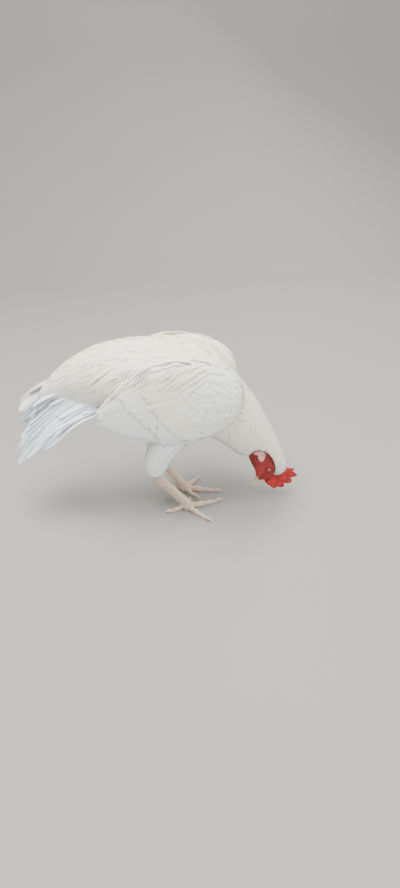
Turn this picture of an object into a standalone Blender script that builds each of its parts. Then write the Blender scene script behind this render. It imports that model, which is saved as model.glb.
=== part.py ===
"""A white rooster, life size, standing with its neck reached down to peck: a still display model.

The bird faces +X, its left side is +Y, and it stands on the floor at z = 0. It is modelled as lofts along
the lines that a bird is drawn from: the back and belly, the neck, the head's own axis, each wing, each tail
feather, each leg and each toe. Neighbours are cleared from each other by a thin gap, so every piece is a
solid of its own. At the end the bird is moved so that the origin is under the middle of its outline.
"""

import math

import bmesh
import bpy
from mathutils import Vector

# ---------------------------------------------------------------- driving dimensions, metres
GAP = 0.0004  # clearance that parts one piece from the next
EYE_AT = Vector((0.154, 0.0, 0.0745))  # middle of the head, level with the eyes
HEAD_PITCH = math.radians(-110)  # way the bill points, from +X towards +Z
EYE_RADIUS = 0.0050
EYE_OUT = 0.0128  # middle of an eye from the midline
SHANK_HALF_DEPTH = 0.0088  # front to back
SHANK_HALF_WIDTH = 0.0066
HOCK_AT = Vector((-0.065, 0.041, 0.090))  # left leg; the right is its mirror image
TOE_RADIUS = 0.0057
SOLE_DROP = 0.66  # height of a toe's middle line in its own radii, low enough to give it a flat sole
CLAW_LENGTH = 0.015
SIDES = (("left", 1), ("right", -1))

# Where each foot stands, the way its toes point in degrees from +X, and their lengths without the claw.
FOOT_AT = {"left": Vector((-0.008, 0.036, 0.0)), "right": Vector((-0.004, -0.030, 0.0))}
TOE_TURN = {
    "left": {"middle": -8, "inner": -50, "outer": 50, "hind": 168},
    "right": {"middle": 19, "inner": 76, "outer": -46, "hind": 194},
}
TOE_LENGTH = {
    "left": {"middle": 0.069, "inner": 0.038, "outer": 0.046, "hind": 0.030},
    "right": {"middle": 0.066, "inner": 0.026, "outer": 0.055, "hind": 0.037},
}

X_AXIS, Y_AXIS, Z_AXIS = Vector((1, 0, 0)), Vector((0, 1, 0)), Vector((0, 0, 1))
BILLWARD = Vector((math.cos(HEAD_PITCH), 0, math.sin(HEAD_PITCH)))
CROWNWARD = Vector((-math.sin(HEAD_PITCH), 0, math.cos(HEAD_PITCH)))

# ---------------------------------------------------------------- materials
FINISHES = {  # base colour, roughness
    "feather_white": ((0.86, 0.85, 0.80), 0.75),
    "feather_tail": ((0.84, 0.86, 0.88), 0.70),
    "comb_red": ((0.62, 0.03, 0.025), 0.45),
    "ear_pink": ((0.80, 0.42, 0.38), 0.55),
    "bill_horn": ((0.68, 0.55, 0.36), 0.40),
    "eye_orange": ((0.45, 0.16, 0.03), 0.10),
    "leg_scale": ((0.62, 0.50, 0.40), 0.55),
    "claw_horn": ((0.55, 0.46, 0.34), 0.40),
}


def finish(name):
    """The named material, made the first time that it is asked for."""
    made = bpy.data.materials.get(name)
    if made is None:
        colour, roughness = FINISHES[name]
        made = bpy.data.materials.new(name)
        made.use_nodes = True
        shader = made.node_tree.nodes["Principled BSDF"]
        shader.inputs["Base Color"].default_value = (*colour, 1)
        shader.inputs["Roughness"].default_value = roughness
        shader.inputs["Metallic"].default_value = 0.0
    return made


# ---------------------------------------------------------------- lofting
def read_curve(stations, at):
    """A Catmull-Rom reading of the stations, rows of numbers, at a place from 0 to len - 1."""
    last = len(stations) - 1
    span = min(int(at), last - 1)
    t = at - span
    a, b = stations[max(span - 1, 0)], stations[span]
    c, d = stations[span + 1], stations[min(span + 2, last)]
    return [
        0.5 * (2 * q + (r - p) * t + (2 * p - 5 * q + 4 * r - s) * t**2 + (3 * q - p - 3 * r + s) * t**3)
        for p, q, r, s in zip(a, b, c, d)
    ]


def spread(stations, count, start=0.0, end=None):
    """That many readings of the stations, evenly from start to end."""
    end = len(stations) - 1 if end is None else end
    return [read_curve(stations, start + (end - start) * i / (count - 1)) for i in range(count)]


def oval(centre, side, up, half_side, half_up, half_down, corners, floor=None):
    """A closed ring of points: an oval that may hang deeper below its widest line than it rises above."""
    ring = []
    for k in range(corners):
        turn = 2 * math.pi * k / corners
        rise = math.sin(turn)
        point = centre + side * (half_side * math.cos(turn)) + up * ((half_up if rise > 0 else half_down) * rise)
        if floor is not None:
            point.z = max(point.z, floor)
        ring.append(point)
    return ring


def loft(name, rings, material):
    """One closed solid of triangles through the rings, with a flat cap on each end."""
    shape = bmesh.new()
    rows = [[shape.verts.new(p) for p in ring] for ring in rings]
    for lower, upper in zip(rows, rows[1:]):
        for k in range(len(lower)):
            j = (k + 1) % len(lower)
            shape.faces.new((lower[k], lower[j], upper[j], upper[k]))
    shape.faces.new(rows[0][::-1])
    shape.faces.new(rows[-1])
    bmesh.ops.recalc_face_normals(shape, faces=shape.faces)
    bmesh.ops.triangulate(shape, faces=shape.faces)
    mesh = bpy.data.meshes.new(name)
    shape.to_mesh(mesh)
    shape.free()
    mesh.shade_smooth()
    mesh.materials.append(finish(material))
    made = bpy.data.objects.new(name, mesh)
    bpy.context.scene.collection.objects.link(made)
    return made


def tube(name, stations, count, corners, material, across=Y_AXIS, start=0.0, end=None, floor=None):
    """A loft along a bent line. A station is x, y, z, half width along across, half depth the other way."""
    rows = spread(stations, count, start, end)
    middles = [Vector(row[:3]) for row in rows]
    rings = []
    for i, row in enumerate(rows):
        ahead = (middles[min(i + 1, count - 1)] - middles[max(i - 1, 0)]).normalized()
        side = (across - ahead * across.dot(ahead)).normalized()
        rings.append(oval(middles[i], side, ahead.cross(side), row[3], row[4], row[4], corners, floor))
    return loft(name, rings, material)


def pointed_fan(name, feet, tips, bow, halves, steps, valley, material):
    """A thin fan of pointed blades side by side, as one solid. The blades reach from feet to tips."""
    columns = []
    for i in range(steps + 1):
        at = i / steps
        tooth = abs(math.cos(math.pi * at * (len(tips) - 1))) ** 0.8
        foot = Vector(read_curve(feet, at * (len(feet) - 1)))
        reach = (Vector(read_curve(tips, at * (len(tips) - 1))) - foot) * (valley + (1 - valley) * tooth)
        outs = [k / (len(halves) - 1) for k in range(len(halves))]
        columns.append([foot + reach * out + bow * (4 * out * (1 - out)) for out in outs])
    rings = []
    for i, column in enumerate(columns):
        before, after = columns[max(i - 1, 0)], columns[min(i + 1, steps)]
        near, far = [], []
        for k, half in enumerate(halves):
            along = column[min(k + 1, len(halves) - 1)] - column[max(k - 1, 0)]
            lift = (after[k] - before[k]).cross(along).normalized() * half
            near.append(column[k] + lift)
            far.append(column[k] - lift)
        rings.append(near + far[::-1])
    return loft(name, rings, material)


def mirrored(stations, way):
    """Rows that start with x and y, put on the left side for way 1 or the right side for way -1."""
    return [(x, way * y, *rest) for x, y, *rest in stations]


def helper(shape):
    """Marks an object as a cutter, which isn't a piece of the bird."""
    shape.hide_render = True
    shape.display_type = "WIRE"
    return shape


def swollen(shape):
    """A cutter the shape of a piece, larger by the gap all round."""
    mesh = shape.data.copy()
    grown = bmesh.new()
    grown.from_mesh(mesh)
    grown.normal_update()
    for point, way in [(v, v.normal.copy()) for v in grown.verts]:
        point.co += way * GAP
    grown.to_mesh(mesh)
    grown.free()
    made = bpy.data.objects.new("clear_of_" + shape.name, mesh)
    bpy.context.scene.collection.objects.link(made)
    return helper(made)


def clear(shape, *cutters):
    """Trims a piece back from its neighbours."""
    for cutter in cutters:
        step = shape.modifiers.new("clear", "BOOLEAN")
        step.object = cutter
        step.operation = "DIFFERENCE"
        step.solver = "EXACT"


# ---------------------------------------------------------------- trunk
# x, height of the widest line, top, bottom, half width
TRUNK = [
    (-0.262, 0.240, 0.246, 0.232, 0.006),
    (-0.246, 0.250, 0.268, 0.232, 0.016),
    (-0.222, 0.262, 0.293, 0.230, 0.025),
    (-0.195, 0.270, 0.312, 0.222, 0.034),
    (-0.164, 0.273, 0.327, 0.211, 0.045),
    (-0.133, 0.268, 0.336, 0.198, 0.057),
    (-0.093, 0.260, 0.341, 0.180, 0.070),
    (-0.049, 0.252, 0.341, 0.165, 0.078),
    (-0.004, 0.249, 0.338, 0.155, 0.081),
    (0.036, 0.245, 0.326, 0.154, 0.077),
    (0.064, 0.242, 0.307, 0.166, 0.066),
    (0.084, 0.238, 0.283, 0.186, 0.047),
    (0.094, 0.236, 0.260, 0.213, 0.020),
]
RUMP_ENDS = 5.0  # station at which the rump meets the trunk


def trunk_rings(count, start, end):
    rings = []
    for x, widest, top, bottom, half in spread(TRUNK, count, start, end):
        rings.append(oval(Vector((x, 0, widest)), Y_AXIS, Z_AXIS, half, top - widest, widest - bottom, 20))
    return rings


def make_trunk():
    """The trunk and the rump are one form, parted across. Returns a cutter of the whole."""
    parting = 0.5 * GAP / (TRUNK[6][0] - TRUNK[5][0])
    rear = trunk_rings(7, 0.0, RUMP_ENDS - parting)
    fore = trunk_rings(10, RUMP_ENDS + parting, len(TRUNK) - 1)
    loft("rump", rear, "feather_white")
    loft("trunk", fore, "feather_white")
    return swollen(helper(loft("whole_trunk", rear + fore, "feather_white")))


# ---------------------------------------------------------------- head
def head_point(billward, crownward, left=0.0):
    """A place on the head, in metres from the middle of the eyes."""
    return EYE_AT + BILLWARD * billward + CROWNWARD * crownward + Y_AXIS * left


def head_loft(name, stations, count, corners, material, middle=0.0):
    """A loft along the bill. A station is billward, crownward, half width, half rise, half drop."""
    rings = []
    for along, rise, half, above, below in spread(stations, count):
        rings.append(oval(head_point(along, rise, middle), Y_AXIS, CROWNWARD, half, above, below, corners))
    return loft(name, rings, material)


SKULL = [
    (-0.056, -0.022, 0.005, 0.006, 0.012),
    (-0.051, -0.016, 0.011, 0.012, 0.026),
    (-0.040, -0.008, 0.0145, 0.0155, 0.040),
    (-0.022, -0.003, 0.0152, 0.0190, 0.043),
    (-0.008, 0.000, 0.0160, 0.0205, 0.043),
    (0.006, 0.001, 0.0148, 0.0195, 0.031),
    (0.018, 0.001, 0.0116, 0.0168, 0.0170),
    (0.027, 0.000, 0.0086, 0.0125, 0.0120),
    (0.032, -0.002, 0.0056, 0.0075, 0.0070),
]
UPPER_BILL = [
    (0.021, 0.0030, 0.0084, 0.0094, 0.0045),
    (0.028, 0.0012, 0.0074, 0.0084, 0.0042),
    (0.035, -0.0020, 0.0057, 0.0066, 0.0038),
    (0.0415, -0.0058, 0.0040, 0.0048, 0.0034),
    (0.047, -0.0100, 0.0022, 0.0030, 0.0029),
    (0.0500, -0.0134, 0.0008, 0.0011, 0.0014),
]
LOWER_BILL = [
    (0.020, -0.0100, 0.0074, 0.0050, 0.0060),
    (0.028, -0.0090, 0.0062, 0.0045, 0.0050),
    (0.035, -0.0094, 0.0045, 0.0036, 0.0036),
    (0.041, -0.0112, 0.0026, 0.0020, 0.0023),
    (0.044, -0.0125, 0.0010, 0.0008, 0.0010),
]
COMB_FOOT = [(0.034, 0.009), (0.024, 0.016), (0.010, 0.0185), (-0.004, 0.0175)]  # billward, crownward
COMB_TIPS = [  # one for each point of the comb
    (0.0400, 0.0180),
    (0.0450, 0.0350),
    (0.0370, 0.0505),
    (0.0210, 0.0620),
    (0.0025, 0.0670),
    (-0.0105, 0.0560),
]
COMB_HALVES = (0.0038, 0.0026, 0.0011)  # half thickness from its foot to its points


def make_comb():
    """A single comb: a blade on the midline with a row of points, thick at its base, its back end free."""
    feet = [head_point(*place) for place in COMB_FOOT]
    tips = [head_point(*place) for place in COMB_TIPS]
    return pointed_fan("comb", feet, tips, Vector(), COMB_HALVES, 30, 0.78, "comb_red")


WATTLE = [  # forward of the eye, out from the midline, above the eye, half width, half depth
    (-0.0120, 0.0095, 0.0205, 0.0020, 0.0045),
    (-0.0150, 0.0115, 0.0140, 0.0028, 0.0080),
    (-0.0165, 0.0130, 0.0040, 0.0030, 0.0092),
    (-0.0165, 0.0140, -0.0070, 0.0030, 0.0086),
    (-0.0160, 0.0145, -0.0145, 0.0022, 0.0052),
    (-0.0155, 0.0145, -0.0175, 0.0008, 0.0018),
]
EAR_LOBE = [
    (-0.0150, 0.0120, 0.0385, 0.0010, 0.0020),
    (-0.0160, 0.0145, 0.0355, 0.0030, 0.0052),
    (-0.0155, 0.0155, 0.0290, 0.0036, 0.0064),
    (-0.0145, 0.0150, 0.0225, 0.0026, 0.0046),
    (-0.0140, 0.0145, 0.0195, 0.0010, 0.0016),
]


def hung_from_head(name, stations, way, count, corners, material):
    """A soft piece that hangs plumb from the side of the face."""
    placed = [
        (EYE_AT.x + ahead, way * out, EYE_AT.z + above, half_width, half_depth)
        for ahead, out, above, half_width, half_depth in stations
    ]
    return tube(name, placed, count, corners, material)


def make_ball(name, centre, radius):
    bpy.ops.mesh.primitive_uv_sphere_add(segments=12, ring_count=6, radius=radius, location=centre)
    ball = bpy.context.object
    ball.name = name
    return ball


def make_head():
    """Skull, bill, comb, wattles, ear lobes and eyes. Returns cutters for what the neck's feathers meet."""
    head = head_loft("head", SKULL, 11, 14, "comb_red")
    upper = head_loft("bill_upper", UPPER_BILL, 9, 10, "bill_horn")
    lower = head_loft("bill_lower", LOWER_BILL, 7, 8, "bill_horn")
    comb = make_comb()
    head_clear, upper_clear, lower_clear = swollen(head), swollen(upper), swollen(lower)
    clear(comb, head_clear, upper_clear)
    clear(upper, head_clear)
    clear(lower, head_clear, upper_clear)
    comb_clear = swollen(comb)
    for side, way in SIDES:
        eye_at = head_point(0.0, 0.002, way * EYE_OUT)
        eye = make_ball("eye_" + side, eye_at, EYE_RADIUS)
        eye.data.materials.append(finish("eye_orange"))
        eye.data.shade_smooth()
        clear(head, helper(make_ball("socket_" + side, eye_at, EYE_RADIUS + GAP)))
        wattle = hung_from_head("wattle_" + side, WATTLE, way, 7, 10, "comb_red")
        lobe = hung_from_head("ear_lobe_" + side, EAR_LOBE, way, 7, 10, "ear_pink")
        wattle_clear = swollen(wattle)
        clear(wattle, head_clear, lower_clear, upper_clear)
        clear(lobe, head_clear, wattle_clear)
    return head_clear, comb_clear


# ---------------------------------------------------------------- neck
# x and z of the back of the neck, x and z of its front, half width; from inside the shoulders to the nape
NECK = [
    (0.030, 0.300, -0.015, 0.178, 0.058),
    (0.078, 0.282, 0.030, 0.156, 0.055),
    (0.118, 0.233, 0.062, 0.134, 0.047),
    (0.146, 0.187, 0.084, 0.116, 0.0385),
    (0.168, 0.143, 0.097, 0.107, 0.0315),
    (0.184, 0.108, 0.108, 0.102, 0.0262),
    (0.193, 0.084, 0.117, 0.096, 0.0230),
    (0.1955, 0.070, 0.130, 0.082, 0.0195),
    (0.188, 0.059, 0.150, 0.066, 0.0145),
    (0.176, 0.055, 0.162, 0.058, 0.0080),
]
NECK_PARTS_AT = 3.0  # station where the hackle meets the upper neck
BARE_FACE_AT = Vector((0.141, 0.0, 0.086))  # the feathers stop at an oval edge about this place
BARE_FACE_TURN = math.radians(-68)  # lie of the oval's long axis, from +X towards +Z
BARE_FACE_HALVES = (0.043, 0.0245)


def neck_loft(name, count, start, end):
    rings = []
    for back_x, back_z, front_x, front_z, half_width in spread(NECK, count, start, end):
        back, front = Vector((back_x, 0, back_z)), Vector((front_x, 0, front_z))
        half = (back - front) / 2
        rings.append(
            oval((back + front) / 2, Y_AXIS, half.normalized(), half_width, half.length, half.length, 16)
        )
    return loft(name, rings, "feather_white")


def make_neck(trunk_clear, head_clear, wing_clear):
    """The feathered neck in two lengths. The wings' shoulders overlie its root."""
    parting = 0.006
    lower = neck_loft("neck_lower", 7, 0.0, NECK_PARTS_AT - parting)
    upper = neck_loft("neck_upper", 8, NECK_PARTS_AT + parting, len(NECK) - 1)
    clear(lower, trunk_clear, *wing_clear)
    long_way = Vector((math.cos(BARE_FACE_TURN), 0, math.sin(BARE_FACE_TURN)))
    long_half, short_half = BARE_FACE_HALVES
    edges = []
    for out in (-0.06, 0.06):
        middle = BARE_FACE_AT + Y_AXIS * out
        edges.append(oval(middle, long_way, long_way.cross(Y_AXIS), long_half, short_half, short_half, 16))
    bare_face = helper(loft("bare_face", edges, "feather_white"))
    clear(upper, bare_face, *head_clear)


# ---------------------------------------------------------------- wings
# x, top, bottom, distance of its middle from the midline, half thickness
WING = [
    (0.097, 0.252, 0.241, 0.046, 0.005),
    (0.093, 0.274, 0.225, 0.052, 0.016),
    (0.082, 0.295, 0.206, 0.056, 0.024),
    (0.059, 0.311, 0.188, 0.060, 0.028),
    (0.027, 0.323, 0.176, 0.065, 0.028),
    (-0.018, 0.327, 0.169, 0.069, 0.023),
    (-0.062, 0.318, 0.173, 0.070, 0.018),
    (-0.098, 0.296, 0.181, 0.067, 0.013),
    (-0.129, 0.267, 0.190, 0.062, 0.008),
    (-0.151, 0.240, 0.201, 0.056, 0.005),
    (-0.164, 0.224, 0.210, 0.052, 0.0025),
]
FLIGHT_STARTS_AT = 4.6  # station where the covert feathers end and the flight feathers show


def wing_rings(way, count, start, end):
    rings = []
    for x, top, bottom, out, half in spread(WING, count, start, end):
        middle = Vector((x, way * out, (top + bottom) / 2))
        tall = (top - bottom) / 2
        rings.append(oval(middle, Y_AXIS * way, Z_AXIS, half, tall, tall, 16))
    return rings


def make_wings(trunk_clear):
    """Each folded wing lies along the flank: its shoulder, and the flight feathers behind."""
    cutters = []
    parting = 0.5 * GAP / (WING[4][0] - WING[5][0])
    for side, way in SIDES:
        fore = wing_rings(way, 9, 0.0, FLIGHT_STARTS_AT - parting)
        rear = wing_rings(way, 9, FLIGHT_STARTS_AT + parting, len(WING) - 1)
        shoulder = loft("wing_shoulder_" + side, fore, "feather_white")
        flight = loft("wing_flight_" + side, rear, "feather_white")
        clear(shoulder, trunk_clear)
        clear(flight, trunk_clear)
        cutters.append(swollen(helper(loft("whole_wing_" + side, fore + rear, "feather_white"))))
    return cutters


# ---------------------------------------------------------------- tail
# Each blade stands for a sheaf of feathers. The left half of the tail is carried a little higher.
TAIL_FOOT = [(-0.165, 0.008, 0.292), (-0.158, 0.025, 0.258), (-0.145, 0.034, 0.222)]
TAIL_TIPS = {  # x, distance from the midline, z
    "left": [
        (-0.284, 0.030, 0.235),
        (-0.303, 0.030, 0.219),
        (-0.319, 0.022, 0.184),
        (-0.318, 0.030, 0.156),
        (-0.294, 0.040, 0.148),
        (-0.250, 0.046, 0.166),
    ],
    "right": [
        (-0.300, 0.008, 0.158),
        (-0.312, 0.016, 0.136),
        (-0.311, 0.026, 0.116),
        (-0.288, 0.036, 0.132),
        (-0.258, 0.043, 0.152),
        (-0.226, 0.048, 0.178),
    ],
}
TAIL_BOW = Vector((-0.006, 0.006, 0.014))
TAIL_HALVES = (0.0050, 0.0048, 0.0040, 0.0028, 0.0012)  # half thickness from root to tips


def make_tail(trunk_clear):
    """Each half of the tail is a drooping fan of long feathers."""
    for side, way in SIDES:
        feet = mirrored(TAIL_FOOT, way)
        tips = mirrored(TAIL_TIPS[side], way)
        bow = Vector((TAIL_BOW.x, way * TAIL_BOW.y, TAIL_BOW.z))
        fan = pointed_fan("tail_" + side, feet, tips, bow, TAIL_HALVES, 20, 0.92, "feather_tail")
        clear(fan, trunk_clear)


# ---------------------------------------------------------------- legs
THIGH = [  # measured on the left leg
    (-0.002, 0.053, 0.213, 0.030, 0.034),
    (-0.031, 0.051, 0.175, 0.028, 0.031),
    (-0.049, 0.047, 0.146, 0.024, 0.027),
    (-0.058, 0.045, 0.123, 0.0200, 0.0240),
    (-0.062, 0.043, 0.106, 0.0155, 0.0195),
    (-0.064, 0.042, 0.094, 0.0110, 0.0135),
    (-0.0645, 0.0415, 0.088, 0.0070, 0.0090),
]


def make_toe(side, toe, foot, foot_clear):
    """A toe of three knuckles with flats under it, and its claw."""
    turn = math.radians(TOE_TURN[side][toe])
    ahead = Vector((math.cos(turn), math.sin(turn), 0))
    across = Vector((-math.sin(turn), math.cos(turn), 0))
    length = TOE_LENGTH[side][toe]
    girth = TOE_RADIUS * (0.86 if toe == "hind" else 1.0)
    root_height = 0.0110 if toe == "hind" else 0.0072
    stations = []
    knuckles = 3 if toe != "hind" else 2
    steps = knuckles * 2
    for i in range(steps + 1):
        t = i / steps
        swell = 1 + 0.13 * math.cos(2 * math.pi * knuckles * t)
        radius = girth * (1 - 0.40 * t) * swell * (0.75 if i == steps else 1.0)
        at = foot + ahead * (0.0085 + (length - 0.0085) * t)
        height = radius * SOLE_DROP + (root_height - girth * SOLE_DROP) * (1 - t) ** 3
        stations.append((at.x, at.y, height, radius, radius * 1.14))
    made = tube(f"toe_{toe}_{side}", stations, steps + 1, 8, "leg_scale", across=across, floor=0.0)
    claw_stations = []
    for i in range(6):
        t = i / 5
        at = foot + ahead * (length - 0.004 + CLAW_LENGTH * t)
        half = 0.0029 * (1 - 0.86 * t)
        height = 0.0042 + 0.0014 * math.sin(math.pi * t) - 0.0039 * t * t
        claw_stations.append((at.x, at.y, height, half * 0.85, half))
    claw = tube(f"claw_{toe}_{side}", claw_stations, 6, 6, "claw_horn", across=across, floor=0.0)
    toe_clear = swollen(made)
    clear(made, foot_clear)
    clear(claw, toe_clear)
    return made, toe_clear


def make_legs(trunk_clear, wing_clear):
    for side, way in SIDES:
        foot = FOOT_AT[side]
        hock = Vector((HOCK_AT.x, way * HOCK_AT.y, HOCK_AT.z))
        thigh = tube("thigh_" + side, mirrored(THIGH, way), 8, 12, "feather_white")
        down = (foot + Z_AXIS * 0.013 - hock) / 6
        stations = []
        for i, girth in enumerate((0.70, 1.30, 1.08, 0.98, 0.96, 1.02, 1.12)):
            at = hock + down * i
            if i == 0:
                at += Vector((0.0030, 0, 0.0065))
            stations.append((*at, SHANK_HALF_WIDTH * girth, SHANK_HALF_DEPTH * girth))
        stations.append((foot.x + 0.002, foot.y, 0.0068, 0.0094, 0.0106))
        stations.append((foot.x + 0.003, foot.y, -0.0020, 0.0070, 0.0082))
        shank = tube("shank_" + side, stations, 12, 10, "leg_scale", floor=0.0)
        shank_clear = swollen(shank)
        clear(thigh, trunk_clear, *wing_clear, shank_clear)
        spur_root = hock + down * 3.9 + Vector((-0.004, -way * 0.001, -0.001))
        spur_way = Vector((-0.0105, -way * 0.0045, -0.0020))
        spur_stations = []
        for t in (0, 0.4, 0.8, 1):
            half = 0.0034 * (1.02 - t)
            spur_stations.append((*(spur_root + spur_way * t), half, half))
        spur = tube("spur_" + side, spur_stations, 5, 6, "claw_horn")
        clear(spur, shank_clear)
        cleared = []
        for toe in ("inner", "outer", "middle", "hind"):
            made, toe_clear = make_toe(side, toe, foot, shank_clear)
            clear(made, *cleared)
            cleared.append(toe_clear)


# ---------------------------------------------------------------- the bird
def set_origin_under_middle():
    """Moves the whole bird so that the origin lies on the floor under the middle of its outline."""
    bpy.context.view_layer.update()
    graph = bpy.context.evaluated_depsgraph_get()
    corners = []
    for shape in bpy.context.scene.objects:
        if shape.type == "MESH" and not shape.hide_render:
            seen = shape.evaluated_get(graph)
            corners += [seen.matrix_world @ v.co for v in seen.data.vertices]
    low = Vector(min(p[k] for p in corners) for k in range(3))
    high = Vector(max(p[k] for p in corners) for k in range(3))
    shift = Vector((-(low.x + high.x) / 2, -(low.y + high.y) / 2, -low.z))
    for shape in bpy.context.scene.objects:
        shape.location += shift


def main():
    for old in list(bpy.data.objects):
        bpy.data.objects.remove(old)
    trunk_clear = make_trunk()
    head_clear = make_head()
    wing_clear = make_wings(trunk_clear)
    make_neck(trunk_clear, head_clear, wing_clear)
    make_tail(trunk_clear)
    make_legs(trunk_clear, wing_clear)
    set_origin_under_middle()


main()
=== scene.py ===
import math

import bmesh
import bpy
import numpy as np
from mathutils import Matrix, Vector, noise
from mathutils.bvhtree import BVHTree
from mathutils.kdtree import KDTree


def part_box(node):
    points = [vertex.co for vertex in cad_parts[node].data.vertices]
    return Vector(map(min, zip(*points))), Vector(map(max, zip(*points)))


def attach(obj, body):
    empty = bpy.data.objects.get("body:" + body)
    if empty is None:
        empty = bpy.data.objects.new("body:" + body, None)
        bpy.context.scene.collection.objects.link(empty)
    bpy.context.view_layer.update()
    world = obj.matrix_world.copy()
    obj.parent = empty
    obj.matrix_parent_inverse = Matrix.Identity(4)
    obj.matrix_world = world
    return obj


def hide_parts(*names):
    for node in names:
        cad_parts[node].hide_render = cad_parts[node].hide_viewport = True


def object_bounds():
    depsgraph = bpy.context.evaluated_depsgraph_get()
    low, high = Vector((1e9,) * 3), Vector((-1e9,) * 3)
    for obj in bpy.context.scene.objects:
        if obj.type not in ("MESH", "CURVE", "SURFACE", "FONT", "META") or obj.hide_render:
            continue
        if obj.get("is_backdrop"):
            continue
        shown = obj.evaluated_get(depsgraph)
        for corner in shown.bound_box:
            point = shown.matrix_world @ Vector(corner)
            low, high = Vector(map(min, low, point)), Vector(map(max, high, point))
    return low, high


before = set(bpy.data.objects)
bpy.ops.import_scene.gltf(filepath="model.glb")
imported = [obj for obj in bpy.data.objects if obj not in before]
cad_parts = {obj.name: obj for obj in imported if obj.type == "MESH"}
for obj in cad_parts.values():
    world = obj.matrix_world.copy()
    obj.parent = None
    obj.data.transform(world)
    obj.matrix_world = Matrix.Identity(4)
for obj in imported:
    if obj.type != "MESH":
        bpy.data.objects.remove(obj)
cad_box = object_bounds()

scene = bpy.context.scene

# ---------------------------------------------------------------------------------------------
# THE STAGE
# A pale studio floor that sweeps up behind the bird, soft light from large panels, and the camera
# at a standing person's eye, looking down at the bird's right side.
# ---------------------------------------------------------------------------------------------
CAMERA_AT = (0.006, -0.982, 0.697)
CAMERA_DOWN, CAMERA_TURN = math.radians(30), math.radians(-4)
SENSOR = 36
VIEW_HALF = 0.740  # half of what is seen from top to bottom, for each metre away from the camera
BIRD_MIDDLE = Vector((0.0, 0.0, 0.18))
PANELS = (  # name, place, width, watts and colour
    ("overhead", (-0.35, -0.25, 2.3), 1.7, 128, (1.0, 0.98, 0.95)),
    ("front_fill", (1.5, -1.6, 1.0), 1.2, 32, (0.90, 0.95, 1.0)),
    ("back_rim", (0.9, 1.9, 1.5), 1.0, 30, (1.0, 0.96, 0.88)),
)
SKY, SKY_STRENGTH = (0.86, 0.93, 1.0, 1), 1.0
SWEEP_BEHIND, SWEEP_RADIUS, SWEEP_STEPS = 1.6, 0.9, 16
FLOOR_HALF, WALL_TOP = 2.6, 3.0
STUDIO_PALE, PALE_MOTTLE = (0.30, 0.287, 0.262), 1.06


def added(name, data):
    """Stands a mesh, a lamp or a camera in the scene."""
    made = bpy.data.objects.new(name, data)
    scene.collection.objects.link(made)
    return made


lens = bpy.data.cameras.new("camera")
lens.sensor_width = SENSOR
lens.lens = SENSOR / 2 / VIEW_HALF
scene.camera = added("camera", lens)
scene.camera.location = CAMERA_AT
scene.camera.rotation_euler = (math.pi / 2 - CAMERA_DOWN, 0, CAMERA_TURN)

for name, place, width, watts, colour in PANELS:
    light = bpy.data.lights.new(name, "AREA")
    light.shape = "SQUARE"
    light.size = width
    light.energy = watts
    light.color = colour
    lamp = added(name, light)
    lamp.location = place
    lamp.rotation_euler = (BIRD_MIDDLE - Vector(place)).to_track_quat("-Z", "Y").to_euler()

scene.world = bpy.data.worlds.new("studio")
scene.world.use_nodes = True
sky = scene.world.node_tree.nodes["Background"].inputs
sky["Color"].default_value = SKY
sky["Strength"].default_value = SKY_STRENGTH


def floor_mesh():
    """A flat floor whose far side turns up into a wall."""
    line = [(-FLOOR_HALF, 0.0), (SWEEP_BEHIND, 0.0)]
    for k in range(1, SWEEP_STEPS + 1):
        turn = math.pi / 2 * k / SWEEP_STEPS
        line.append((SWEEP_BEHIND + SWEEP_RADIUS * math.sin(turn), SWEEP_RADIUS * (1 - math.cos(turn))))
    line.append((SWEEP_BEHIND + SWEEP_RADIUS, WALL_TOP))
    corners = [(x, y, z) for y, z in line for x in (-FLOOR_HALF, FLOOR_HALF)]
    faces = [(2 * k, 2 * k + 1, 2 * k + 3, 2 * k + 2) for k in range(len(line) - 1)]
    mesh = bpy.data.meshes.new("floor")
    mesh.from_pydata(corners, [], faces)
    mesh.shade_smooth()
    return mesh


class Sock:
    """A shader socket that does arithmetic: each operator adds the Math node for it."""

    def __init__(self, look, socket):
        self.look = look
        self.socket = socket

    def _math(self, operation, *terms):
        return self.look.node("ShaderNodeMath", {"operation": operation}, dict(enumerate(terms)))

    def __add__(self, other):
        return self._math("ADD", self, other)

    __radd__ = __add__

    def __sub__(self, other):
        return self._math("SUBTRACT", self, other)

    def __rsub__(self, other):
        return self._math("SUBTRACT", other, self)

    def __mul__(self, other):
        return self._math("MULTIPLY", self, other)

    __rmul__ = __mul__

    def __abs__(self):
        return self._math("ABSOLUTE", self)

    def sine(self):
        return self._math("SINE", self)


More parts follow.
